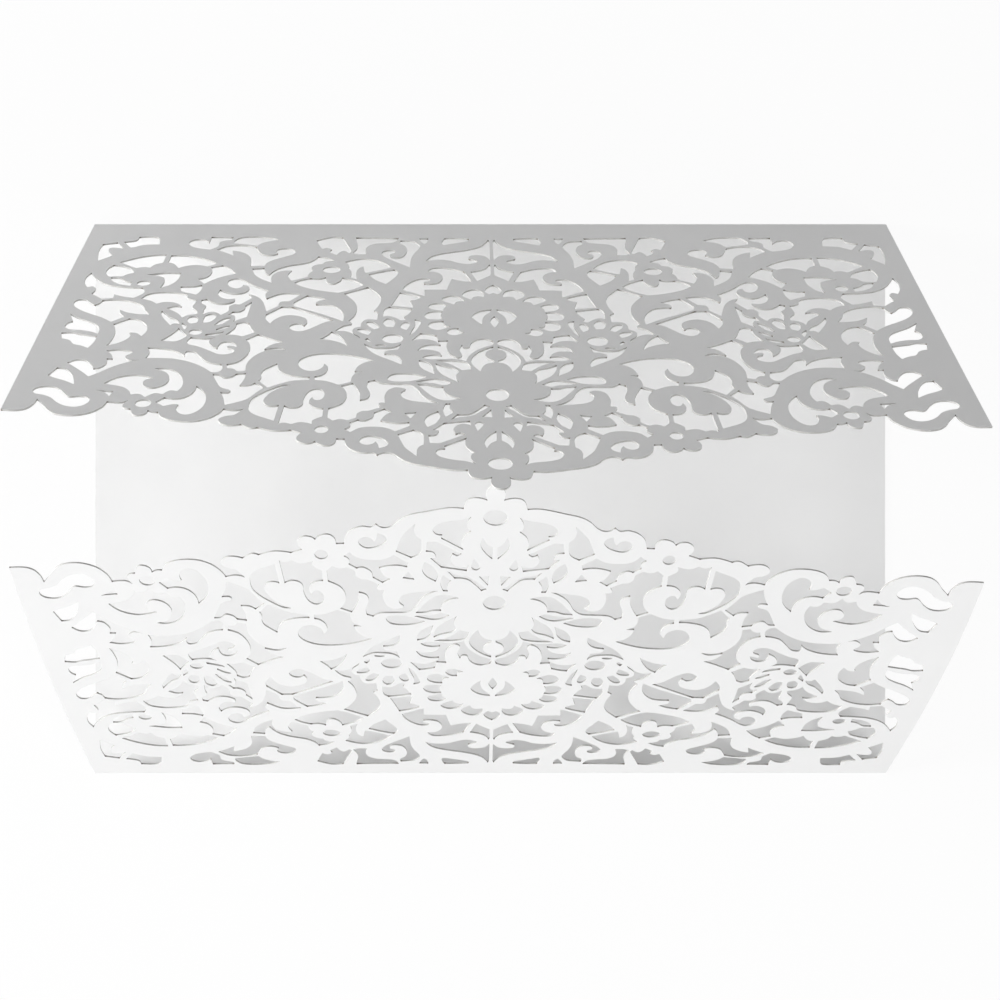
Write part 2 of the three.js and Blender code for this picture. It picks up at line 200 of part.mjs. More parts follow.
// Cuts of the big flower, the scrolls beside it and the corner leaf
const outer_row = [
  [[0.45, 57.4], [0.6, 55.9, 1], [2.3, 55.1], [3.9, 55.7], [4.9, 57.1], [5.3, 58.7], [6.3, 58.8],
    [6.7, 57.7, 1], [7.2, 59.8], [6.7, 62.0], [7.5, 62.9], [8.7, 62.1], [9.5, 60.5], [9.8, 58.2],
    [9.5, 56.0, 1], [11.5, 56.2, 1], [11.9, 54.0, 1], [13.5, 53.4], [15.1, 53.1, 1], [16.0, 54.6],
    [16.9, 56.2, 1], [15, 55.6], [13.2, 55.8], [11.6, 56.9], [11.0, 57.9, 1], [13.0, 57.8],
    [14.7, 58.6], [15.6, 60.4, 1], [14.2, 59.9], [12.5, 60.1], [11.3, 60.9], [10.7, 62.2, 1],
    [12.3, 61.9], [13.8, 62.3], [14.6, 63.1, 1], [13.2, 63.8], [10.5, 63.6], [8, 63.5],
    [5.9, 64.3, 1], [5.3, 62.2], [4.1, 60.3], [2.3, 58.6]],
  [[0.45, 58.3, 1], [1.8, 59.1], [3.4, 60.6], [4.6, 62.6], [4.9, 64.6], [4.3, 66.4], [3.1, 68.2, 1],
    [2.7, 66.5], [1.8, 65.2], [0.45, 64.7, 1], [0.45, 63.9], [1.6, 63.0], [2.1, 61.6], [1.7, 60.2],
    [0.45, 59.3, 1]],
  [[4.9, 67.4, 1], [5.6, 65.0], [7.4, 64.3], [9.5, 64.1], [11.9, 64.2, 1], [9.8, 65.1],
    [8.1, 66.4], [6.8, 67.9, 1]],
  [[11.9, 65.3, 1], [11.7, 67.3], [10.8, 69.3], [9.4, 70.8], [7.3, 72.6, 1], [7.8, 70.9],
    [7.8, 69.5], [7.4, 68.5], [8.3, 67.2], [10.3, 66.4]],
  [[15.2, 64.2, 1], [15.1, 66.1], [14.2, 67.8], [11.9, 69.6, 1], [12.3, 67.8], [12.6, 66.2],
    [13.7, 64.8]],
  [[13.5, 70.8, 1], [15.5, 69.8], [18, 69.4], [20.2, 69.8], [21.1, 71.1], [20.8, 72.2], [18.9, 72.6],
    [17, 72.4], [15.3, 71.8]],
  [[8.7, 72.9, 1], [10.2, 71.7], [11.8, 71.3], [13.6, 71.7], [15.6, 72.5, 1], [13.5, 72.9],
    [11.8, 73.1], [10.2, 73.7]],
  [[15.3, 73.5, 1], [14.2, 75.3], [12.7, 77.5], [11.2, 78.9], [9.5, 79.3], [8.3, 79],
    [6.8, 78.4, 1], [8.7, 77.7], [10, 76.3], [10.3, 74.3, 1], [12, 74.2], [13.4, 73.6]],
  [[10.8, 80.5, 1], [13, 79.1], [14.4, 77.3], [15.4, 75.0], [17, 73.6], [19.5, 73.4], [22.2, 73.2],
    [23.6, 72.1, 1], [24.8, 72.7, 1], [24.9, 74.7], [24.2, 77.2], [24.6, 78.9], [26, 79.6, 1],
    [26.1, 77.5], [26.8, 75.3], [27.7, 73.4, 1], [29.9, 74.6, 1], [28.8, 76.6], [28.6, 78.9],
    [29.4, 81.1], [31.7, 82.8, 1], [31.7, 86.0, 1], [30.6, 87.2, 1], [29.3, 86.6], [27.9, 87.0, 1],
    [26.4, 85.9], [26.3, 84.6], [25.3, 83.6], [24.2, 83.5], [22.0, 82.2, 1], [22.4, 80.7],
    [21.2, 80.5, 1], [21.4, 78], [20.7, 75.7], [19.2, 74.8], [17.5, 75.4], [18.3, 76.6],
    [18.1, 78.3], [16.6, 79.5], [14, 80.1]],
  [[19.8, 83.8, 1], [21.3, 82.6, 1], [23.1, 84.1, 1], [23.4, 85.8], [24.8, 86.9], [26, 86.6, 1],
    [27.5, 87.8, 1], [27.3, 89], [28.3, 90, 1], [27.1, 91.1, 1], [25.8, 89.7], [24, 89.1],
    [21.8, 89.1], [20.2, 89.6], [19, 90.5, 1], [16.3, 88.5, 1], [16.5, 87.2, 1], [18.3, 87.6],
    [20.2, 87.4], [21.8, 86.8, 1], [21, 84.9]],
  [[15.2, 83.7, 1], [17.5, 84.1, 1], [16.3, 86.0, 1]],
  [[11.2, 83.2, 1], [13, 84.7], [13.7, 86.6], [13.1, 88.8, 1], [11.6, 87.4], [10.8, 85.2]],
  [[8.9, 80.4, 1], [9.8, 80.4, 1], [10.3, 82.7], [9.8, 85.2, 1], [8.3, 83.6, 1], [9, 82]],
  [[1.5, 81.2, 1], [2.5, 80.6, 1], [3.9, 82.6], [5.4, 84], [7.6, 84.2, 1], [8.9, 86.2, 1],
    [7, 85.2], [5, 84.7], [3.3, 83.1]],
  [[1.3, 82.3, 1], [3.0, 84.9, 1], [1.1, 85.1, 1]],
  [[2.7, 87.4], [3.5, 86.6], [4.4, 87.3], [3.9, 89.9, 1]],
  [[5.3, 86.4, 1], [10.1, 87.3, 1], [12.1, 89.8, 1], [11.0, 90.0, 1], [11.5, 91.3],
    [12.9, 91.6, 1], [12.6, 94.2, 1], [10.8, 94.2, 1], [6.2, 91.2, 1], [7.0, 90.5],
    [7.9, 91.0, 1], [8.3, 89.6], [7.9, 88.3], [6.6, 87.5], [5.0, 88.0, 1]],
  [[0.5, 89.8, 1], [1.5, 90.9], [2.4, 92.4], [2.7, 93.9], [2.3, 95.6, 1], [1.6, 94], [0.45, 93, 1]],
  [[5.9, 92.2, 1], [10.0, 95.1, 1], [9.8, 95.9, 1], [10.9, 96.1], [11.5, 97.2], [10.7, 98.6],
    [8.5, 99.5], [6.2, 99.9], [4.4, 100.7, 1], [5.1, 99.2], [5.1, 97.8], [4.4, 97.1, 1],
    [5.8, 95.6], [6.2, 93.8]],
  [[15.7, 89.8, 1], [18.5, 91.5, 1], [17.8, 93.7], [16.9, 96], [14.7, 98.7, 1], [14.9, 96.9],
    [14.5, 95.5], [13.7, 94.8, 1], [13.9, 91.3]],
  [[20.1, 94.4], [20.9, 93.2], [22.4, 92.4], [24, 92.2], [25.2, 93.2], [25.1, 94.6], [24, 95.2],
    [22.9, 94.8], [22.4, 94.0, 1], [21.9, 95.0], [21.7, 96.2, 1], [20.4, 95.5]],
  [[32.6, 82.9, 1], [34.2, 82.6], [35.3, 81.4], [35.5, 80.0], [35.0, 78.9, 1], [34.6, 79.8],
    [33.8, 80.0], [33.0, 79.2], [32.8, 77.8], [33.2, 76.4], [34.3, 75.7], [35.5, 76.3],
    [36.3, 77.9], [36.6, 79.7], [36.6, 81.4], [37.3, 82.5], [38.7, 82.8], [40.0, 82.1, 1],
    [40.5, 88.6, 1], [39.3, 88.2], [38.1, 88.7, 1], [36.5, 87.9], [34.2, 88.5, 1], [34.3, 87.2],
    [32.6, 85.8, 1]],
  [[41.0, 82.0, 1], [42.1, 82.4], [43.3, 82.1], [44, 80.8], [43.9, 79.5], [43, 77.5],
    [41.5, 75.8], [39.4, 74.5, 1], [41, 74.6], [43, 76.1], [44.9, 77.9], [46.3, 80], [46.6, 82.2],
    [46.3, 84.2], [45.1, 85.6], [43.3, 86.6], [41.4, 87.6, 1]],
  [[24.2, 64.6, 1], [26.5, 63.4], [29, 62.5], [32, 62.0], [34.8, 62.1], [37.2, 63.1], [38.7, 65.0],
    [38.5, 67.3], [37.2, 68.8], [35.4, 68.9], [34.1, 67.8], [33.7, 66.1, 1], [32.9, 67.4],
    [33.1, 69.3], [34.0, 70.6], [35.2, 71.1, 1], [35.1, 72.5, 1], [33, 72.8], [30.4, 74.2, 1],
    [28.1, 73.0, 1], [28.0, 71.2], [27.4, 69.7], [26.0, 68.9, 1], [27.6, 68.8, 1], [27.0, 66.8],
    [25.9, 65.5]],
  [[36.1, 71.4, 1], [38.5, 71.2], [40.8, 70.4], [42.2, 68.9], [42.9, 66.3, 1],
    [44.1, 67.5], [45.2, 68.8], [45.6, 70.3], [45.4, 71.8], [45.8, 73.1, 1], [43.8, 75.7, 1],
    [42, 74.4], [39.5, 73.0], [36.1, 72.4, 1]],
  [[44.5, 75.8, 1], [46.4, 73.9, 1], [47.5, 74.8], [49.2, 74.9, 1], [48.6, 72.7], [48.5, 70.2, 1],
    [50.4, 70.6, 1], [51.2, 71.7], [52.5, 72.1], [53.6, 71.0], [54.9, 70.9, 1], [53.8, 73.6],
    [52.7, 75.8], [50.7, 76.9], [51.1, 77.7], [52.6, 77.6, 1], [51.7, 79.6], [51.1, 82.3, 1],
    [48.9, 81.2], [47.2, 80.0], [46, 78]],
  [[42.5, 57.6, 1], [44.8, 56.4], [48.0, 54.4, 1], [50.2, 56.8, 1], [49.2, 58.5], [48.9, 61],
    [49.4, 63.6], [50.7, 65.8], [52.7, 66.9, 1], [52.4, 68.5, 1], [51.2, 68.6], [50.4, 69.6, 1],
    [48.8, 69.3, 1], [48.8, 66.5], [48.1, 64.2], [46.9, 62.3], [45.3, 61.0], [43.4, 60.7],
    [41.6, 60.9, 1], [43.3, 59.9], [46.0, 60.6, 1], [45.3, 59.3], [44.2, 58.3]],
  [[53.7, 66.9, 1], [55.3, 66.6], [56.8, 65.8], [58.2, 64.0], [59.5, 62.2], [61.0, 61.8],
    [61.5, 62.4], [61.3, 63.9, 1], [62.8, 62.3], [65, 61.2], [67.2, 60.7], [69.2, 60.6, 1],
    [68.5, 62.6], [68.9, 65.0, 1], [66, 64.8], [63, 65.1], [60, 66.2], [57.5, 67.9], [55.3, 70.1, 1],
    [54, 70.0], [53.3, 68.8]],
  [[56.3, 56.0, 1], [58.5, 56.5], [61.3, 56.0, 1], [61.8, 57.6], [61.4, 58.9], [59.4, 59.8],
    [57, 61.4], [55, 62.8], [53.3, 62.9], [52.0, 62.1], [52.2, 60.9], [53.4, 60.2], [53.4, 59.4],
    [51.6, 59.8, 1], [52.1, 58.5], [53.3, 57.7], [54.7, 57.9], [55.3, 59.2], [55.4, 60.5, 1],
    [56.7, 59.4], [57.4, 57.8], [57.2, 56.8]],
  [[18.9, 57.7, 1], [20.3, 59.0], [22.3, 59.4], [24.2, 59.3], [26.4, 57.8, 1], [25.3, 60.3],
    [23.6, 62.3], [21.3, 64.0], [18.6, 66.0, 1], [18.8, 63.8], [20, 62.3], [22.1, 61.8, 1],
    [22.0, 60.9], [21, 60.3], [19.5, 60.1, 1]],
  [[69.3, 65.3, 1], [71.2, 65.9], [72.4, 65.3], [72.9, 64.2], [71.8, 62.7], [73, 61.9], [75, 61.6],
    [77.1, 62.1, 1], [75.9, 63.5], [75.2, 65.3, 1], [76.4, 65.3, 1], [76.1, 67.2], [77.0, 68.9],
    [78.2, 69.3, 1], [79.0, 67.6], [80.4, 66.1], [82.2, 65.9], [83.7, 67.2, 1], [81.8, 69.0],
    [80, 70.8], [78.5, 72.5, 1], [76.6, 70.7], [74.8, 68.7], [72.3, 66.8]],
  [[80.6, 75.6, 1], [81.2, 73.2], [82.2, 71.1], [83.5, 69.6], [85.2, 69.2, 1], [86.3, 72.3, 1],
    [84.8, 73.2], [82.7, 74.2]],
  [[76.4, 81.6], [77.2, 80.2], [78.8, 79.9], [80.4, 80.2], [81.2, 79.6], [82.3, 78.1], [83.8, 76.8],
    [85.6, 76.4], [87.2, 76.9], [87.8, 78.0], [87.2, 79.2], [85.5, 79.7], [83.8, 80.7],
    [82.4, 82.3], [80.7, 83.5], [78.8, 83.9], [77.2, 83.2]],
  [[72.6, 78.0, 1], [76.0, 77.6, 1], [74.2, 78.5], [73.1, 79.8, 1]],
  [[66.4, 69.1, 1], [64.5, 68.8], [62.6, 69.6], [61, 71.4], [60.1, 74], [60.1, 75.9],
    [60.7, 77.5, 1], [62.2, 77.4], [63.2, 78.8, 1], [64.9, 78.5], [66.4, 80.0, 1], [67.6, 78.8],
    [69.2, 79.1, 1], [69.8, 77.6], [71.4, 76.2], [75, 75.1, 1], [73.7, 73.3], [71.9, 72.1],
    [69.7, 71.6], [67.6, 72.0], [65.8, 72.7, 1], [67.3, 73.4], [67.7, 74.7], [66.8, 76.1],
    [65.2, 76.3], [63.6, 75.2], [62.9, 73.3], [63.4, 71.2], [64.5, 70.0]],
  [[57.3, 75.5, 1], [57.4, 77.0], [58, 78.6], [59.3, 79.9], [61, 80.3], [62.7, 79.9, 1],
    [64.1, 81.7, 1], [62.4, 83.1, 1], [60.8, 82.4], [59.7, 82.4, 1], [59.9, 83.9], [59.2, 85.4],
    [57.8, 86.0], [56.4, 85.3], [55.2, 83.4], [54.8, 81], [55.2, 78.5], [56.1, 76.8]],
];

// Cuts that lie on the centre line: the petal above the sunflower and the drop inside it
const centre_cuts = [
  [[0, 31.2, 1], [0.9, 32], [1.6, 33.1], [1.75, 34.4], [0.9, 35.6, 1], [0, 34.9, 1]],
  [[0, 45.5, 1], [0.5, 46.3], [0.9, 47.8], [0.5, 49.2], [0, 50.3, 1]],
];

// Round cuts: centre, half width, half height
const round_cuts = [
  [35.2, 24.4, 1.95, 1.6],
  [75.1, 31.7, 1.4, 1.25],
  [20.7, 55.6, 2.1, 1.9],
  [23, 58.4, 1.1, 0.4],
  [60.7, 53.8, 1.35, 1.15],
  [66.3, 82.2, 1.5, 1.4],
  [32.45, 90.3, 1.25, 1.25],
];
const centre_round_cuts = [
  [0, 77, 2.2, 2.2],
  [0, 100.5, 2.2, 1.9],
];

// The drawing reaches from the first cuts to the tip of the free edge, and out to the side of the sheet
const drawn_length = free_edge[0][1];
const drawn_half_width = free_edge[free_edge.length - 1][0];
const drawn_first_cut = Math.min(...fold_row.flat().map((point) => point[1]));

const half_width = panel_width / 2;
const first_cut = plain_margin + cut_clearance;
const across = half_width / drawn_half_width;
const along = (flap_length - first_cut) / (drawn_length - drawn_first_cut);
const outer_radius = fold_radius + sheet_thickness;

function bump_size(before, point, after) {
  const cross = (point.x - before.x) * (after.y - before.y) - (point.y - before.y) * (after.x - before.x);
  return cross / 2;
}

// Leaves out the smallest bumps one by one. A bump that keeps card in a cut counts double, so that
// the bars between the cuts stay whole.
function plain_outline(points, closed) {
  const kept = [...points];
  const way = closed && THREE.ShapeUtils.area(kept) > 0 ? 1 : -1;
  while (kept.length > 3) {
    let smallest = Infinity;
    let smallest_at = 0;
    const first = closed ? 0 : 1;
    const last = closed ? kept.length : kept.length - 1;
    for (let i = first; i < last; i += 1) {
      const before = kept[(i + kept.length - 1) % kept.length];
      const after = kept[(i + 1) % kept.length];
      const size = bump_size(before, kept[i], after) * way;
      const keeps_card = closed && size < 0;
      const weight = keeps_card ? -2 * size : Math.abs(size);
      if (weight < smallest) {
        smallest = weight;
        smallest_at = i;
      }
    }
    if (smallest > (closed ? least_bump : least_bump / 1.5)) {
      break;
    }
    kept.splice(smallest_at, 1);
  }
  return kept;
}

function drawn(points, mirror) {
  return points.map(([x, u]) => new THREE.Vector2(mirror * x, u));
}

// From the drawing to the real sheet
function placed(points) {
  return points.map((point) => {
    return new THREE.Vector2(point.x * across, first_cut + (point.y - drawn_first_cut) * along);
  });
}

function round_outline([x, u, half_across, half_along]) {
  const points = [];
  const sides = 6;
  for (let i = 0; i < sides; i += 1) {
    const turn = (2 * Math.PI * (i + 0.5)) / sides;
    points.push([x + half_across * Math.cos(turn), u + half_along * Math.sin(turn)]);
  }
  return points;
}

// All cuts of one flap, flat, on both sides of the centre line
function lace_cuts() {
  const cuts = [];
  for (const mirror of [1, -1]) {
    for (const outline of [...fold_row, ...middle_row, ...outer_row]) {
      cuts.push(plain_outline(drawn(outline, mirror), true));
    }
    for (const size of round_cuts) {
      cuts.push(drawn(round_outline(size), mirror));
    }
  }
  for (const half of centre_cuts) {
    const right = drawn(half, 1);
    const left = drawn(half, -1).reverse().filter((point) => point.x < 0);
    cuts.push(plain_outline(right.concat(left), true));
  }
  for (const size of centre_round_cuts) {
    cuts.push(drawn(round_outline(size), 1));
  }
  return cuts.map(placed);
}

// Outline of the lace part of a flap: the straight side edges have points so that they can bend
function lace_outline() {
  const right = placed(plain_outline(drawn(free_edge, 1), false)).reverse();
  const left = right.map((point) => new THREE.Vector2(-point.x, point.y)).reverse().slice(1);
  const corner = right[0].y;
  const side_steps = 7;
  const side = [];
  for (let i = 0; i < side_steps; i += 1) {
    side.push(plain_margin + ((corner - plain_margin) * i) / side_steps);
  }
  const right_side = side.map((u) => new THREE.Vector2(half_width, u));
  const left_side = side.map((u) => new THREE.Vector2(-half_width, u)).reverse();
  return [...right_side, ...right, ...left, ...left_side];
}

function flap_angle(stance, x, u) {
  const reach = u / flap_length;
  const turn = (stance.twist + stance.untwist * reach) * (x / half_width);
  return THREE.MathUtils.degToRad(stance.angle - stance.droop * reach * reach + turn);
}

// A point of the sheet: outer is the distance in from the fold and the height, depth goes into the card
function sheet_point(stance, x, outer, slope, depth) {
  const inward = outer.x + depth * Math.sin(slope);
  const height = outer.y - depth * Math.cos(slope);
  return [x, stance.side * (panel_height / 2 - inward), height];
}

// The bend of the fold, as a share of its whole turn, from the panel to the flap
function fold_point(stance, x, share, depth) {
  const turn = share * (Math.PI - flap_angle(stance, x, 0));
  const outer = new THREE.Vector2(outer_radius * (1 - Math.sin(turn)), outer_radius * (1 - Math.cos(turn)));
  return sheet_point(stance, x, outer, Math.PI - turn, depth);
}

// A point of the flap, at a distance from the fold measured on the card
function flap_point(stance, x, u, depth) {
  const start = flap_angle(stance, x, 0);
  const bend = Math.PI - start;
  const outer = new THREE.Vector2(outer_radius * (1 - Math.sin(bend)), outer_radius * (1 - Math.cos(bend)));
  const straight = u - outer_radius * (bend - Math.PI / 2);
  const steps = Math.max(1, Math.ceil(straight / 3));
  for (let i = 0; i < steps; i += 1) {
    const slope = flap_angle(stance, x, (u * (i + 0.5)) / steps);
    outer.x += (straight / steps) * Math.cos(slope);
    outer.y += (straight / steps) * Math.sin(slope);
  }
  const leaning = x + (stance.lean * u) / flap_length;
  return sheet_point(stance, leaning, outer, flap_angle(stance, x, u), depth);
}

const corners = [];

function add_triangle(a, b, c) {
  corners.push(...a, ...b, ...c);
}

function add_quad(a, b, c, d) {
  add_triangle(a, b, c);
  add_triangle(a, c, d);
}

// The whole middle of the sheet, from the margin of one flap over the panel to the margin of the other
function section(point) {
  return {
    outer_left: point(-half_width, 0),
    outer_right: point(half_width, 0),
    inner_left: point(-half_width, sheet_thickness),
    inner_right: point(half_width, sheet_thickness),
  };
}

function margin_sections(stance) {
  const margin = plain_margin - stance.nearer;
  const sections = [section((x, depth) => flap_point(stance, x, margin, depth))];
  for (let i = fold_steps; i >= 0; i -= 1) {
    sections.push(section((x, depth) => fold_point(stance, x, i / fold_steps, depth)));
  }
  return sections;
}

const sections = [...margin_sections(bottom_stance), ...margin_sections(top_stance).reverse()];
for (let i = 1; i < sections.length; i += 1) {
  const a = sections[i - 1];
  const b = sections[i];
  add_quad(a.outer_left, b.outer_left, b.outer_right, a.outer_right);
  add_quad(a.inner_left, a.inner_right, b.inner_right, b.inner_left);
  add_quad(a.outer_left, a.inner_left, b.inner_left, b.outer_left);
  add_quad(a.outer_right, b.outer_right, b.inner_right, a.inner_right);
}

// The lace is cut flat, bent into shape, and left open where it continues into the margin
const flat = new THREE.Shape(lace_outline());
flat.holes = lace_cuts().map((cut) => new THREE.Path(cut));
const plate = new THREE.ExtrudeGeometry(flat, { depth: sheet_thickness, bevelEnabled: false });
const spots = plate.getAttribute('position');

for (const stance of [top_stance, bottom_stance]) {
  const bent = [];
  for (let i = 0; i < spots.count; i += 1) {
    const at_margin = Math.abs(spots.getY(i) - plain_margin) < 1e-4;
    const x = at_margin ? Math.sign(spots.getX(i)) * half_width : spots.getX(i);
    const u = at_margin ? plain_margin : spots.getY(i);
    const depth = spots.getZ(i) > 0 ? sheet_thickness : 0;
    bent.push({ point: flap_point(stance, x, u - stance.nearer, depth), at_margin });
  }
  for (let i = 0; i < bent.length; i += 3) {
    const [a, b, c] = bent.slice(i, i + 3);
    if (a.at_margin && b.at_margin && c.at_margin) {
      continue;
    }
    if (stance.side > 0) {
      add_triangle(a.point, b.point, c.point);
    } else {
      add_triangle(a.point, c.point, b.point);
    }
  }
}

const geometry = new THREE.BufferGeometry();
geometry.setAttribute('position', new THREE.Float32BufferAttribute(corners, 3));
geometry.computeVertexNormals();

const card = new THREE.MeshStandardMaterial({
  name: 'white card',
  color: card_colour,
  roughness: card_roughness,
  metalness: 0,
});

const sheet = new THREE.Mesh(geometry, card);
sheet.name = 'lace_cut_sheet';

const gatefold_invitation = new THREE.Group();
gatefold_invitation.name = 'gatefold_invitation';
gatefold_invitation.add(sheet);

export default gatefold_invitation;
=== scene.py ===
import math

import bmesh
import bpy
import numpy as np
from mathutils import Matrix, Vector
from mathutils.geometry import delaunay_2d_cdt


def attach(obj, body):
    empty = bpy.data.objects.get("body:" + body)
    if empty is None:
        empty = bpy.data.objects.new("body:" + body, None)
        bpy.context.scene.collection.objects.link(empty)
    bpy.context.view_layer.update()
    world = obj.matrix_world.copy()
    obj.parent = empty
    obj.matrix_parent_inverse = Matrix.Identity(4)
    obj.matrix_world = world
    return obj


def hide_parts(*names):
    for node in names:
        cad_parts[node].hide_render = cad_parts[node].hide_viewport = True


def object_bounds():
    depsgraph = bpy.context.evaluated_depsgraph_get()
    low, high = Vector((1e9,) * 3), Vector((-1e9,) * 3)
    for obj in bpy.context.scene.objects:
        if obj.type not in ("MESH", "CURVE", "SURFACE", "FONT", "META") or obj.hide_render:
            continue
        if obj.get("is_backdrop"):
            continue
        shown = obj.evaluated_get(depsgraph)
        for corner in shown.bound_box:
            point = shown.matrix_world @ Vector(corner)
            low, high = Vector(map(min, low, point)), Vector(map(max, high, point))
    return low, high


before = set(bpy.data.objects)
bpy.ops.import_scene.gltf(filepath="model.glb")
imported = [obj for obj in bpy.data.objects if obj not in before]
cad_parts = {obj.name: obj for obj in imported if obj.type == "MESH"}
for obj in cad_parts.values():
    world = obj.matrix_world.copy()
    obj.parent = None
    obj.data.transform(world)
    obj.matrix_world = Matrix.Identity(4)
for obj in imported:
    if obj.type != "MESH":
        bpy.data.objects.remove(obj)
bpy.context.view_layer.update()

# Camera: straight above the card, a little left of its centre, as the photograph was taken.
# The shift only brings the card back into the middle of the picture.
camera_data = bpy.data.cameras.new("camera")
camera_data.sensor_fit = "HORIZONTAL"
camera_data.angle = math.radians(37.05)
camera_data.shift_x = 0.039
camera_data.shift_y = -0.0273
camera = bpy.data.objects.new("camera", camera_data)
camera.location = (-0.00683, 0.00602, 0.34815)
bpy.context.scene.collection.objects.link(camera)
bpy.context.scene.camera = camera

# Sizes of the sheet in millimetres, as in the solid model: one sheet with a panel and two flaps.
PANEL_WIDTH = 184
PANEL_HEIGHT = 127.7
THICKNESS = 0.35
FLAP_LENGTH = 108.3
FOLD_RADIUS = 0.45
OUTER_RADIUS = FOLD_RADIUS + THICKNESS
HALF_WIDTH = PANEL_WIDTH / 2

# How the flaps stand: angle at the fold, droop towards the free edge, and how far the right hand
# side leads the left, in degrees. In millimetres: how far the free edge leans to the right, and
# how much nearer the lace is to its fold.
STANCES = {
    1: {"angle": 55.9, "droop": 0, "twist": -1.6, "untwist": 0.8, "lean": 0.15, "nearer": 0},
    -1: {"angle": 56, "droop": 18.7, "twist": 1.2, "untwist": 0, "lean": -0.6, "nearer": 2.3},
}

# The lace in millimetres, drawn for the right half of a flap: distance from the centre line and
# distance from the fold.
# A third value of 1 marks a sharp corner of the cut; the laser runs smoothly through the others.
free_edge = [
  [0, 108.3], [0.9, 108.0], [1.6, 107.0], [1.75, 105.9], [1.5, 104.7, 1], [2.6, 105.1],
  [4.0, 105.2],
  [5.2, 104.6], [5.8, 102.6, 1], [8.5, 102.7], [13, 101.6], [15.5, 100.9], [17.3, 99.8],
  [18.6, 98.3], [19.7, 97.6], [20.9, 97.6], [21.9, 98.4, 1], [22.9, 97.6], [24.4, 97.8],
  [26.2, 97.1],
  [27.5, 95.6], [28.0, 93.3, 1], [29.5, 93.2, 1], [29.7, 94.6], [30.5, 95.5], [31.6, 95.6],
  [32.8, 95.0],
  [33.3, 94.2, 1], [34.1, 94.9], [35.4, 95], [36.5, 94.2], [36.7, 92.9], [35.9, 91.6, 1],
  [38.1, 90.6, 1], [39.6, 90.9], [41.5, 90.9], [44.2, 89.9, 1], [45.5, 90.2], [47.3, 88.9, 1],
  [48.5, 89.3], [50, 89.3], [51.2, 88.5], [51.5, 87.2], [50.3, 86.2], [48.9, 85.8], [47.4, 83.6, 1],
  [49.1, 84.1], [51.1, 83.6, 1], [51.8, 85.2], [53.4, 87], [55.6, 88.1], [58, 88.3], [60.3, 87.9],
  [62.1, 86.9], [63.0, 85.2, 1], [64.0, 85.2], [65.0, 84.6, 1], [65.2, 85.7], [66.2, 86.4],
  [67.4, 86.3], [68.3, 84.2, 1], [69.4, 84.0], [70.0, 83.1], [69.2, 81.2, 1], [70.6, 82.0],
  [73.1, 81.7, 1], [73.6, 83.6], [75.1, 85.5], [77.2, 86.6], [79.5, 86.9], [81.8, 86.4],
  [83.4, 85.1], [84.6, 83.3], [86.2, 81.3, 1], [86.6, 83.3], [87.6, 84.8], [89.2, 85.4],
  [92, 85.3, 1],
]

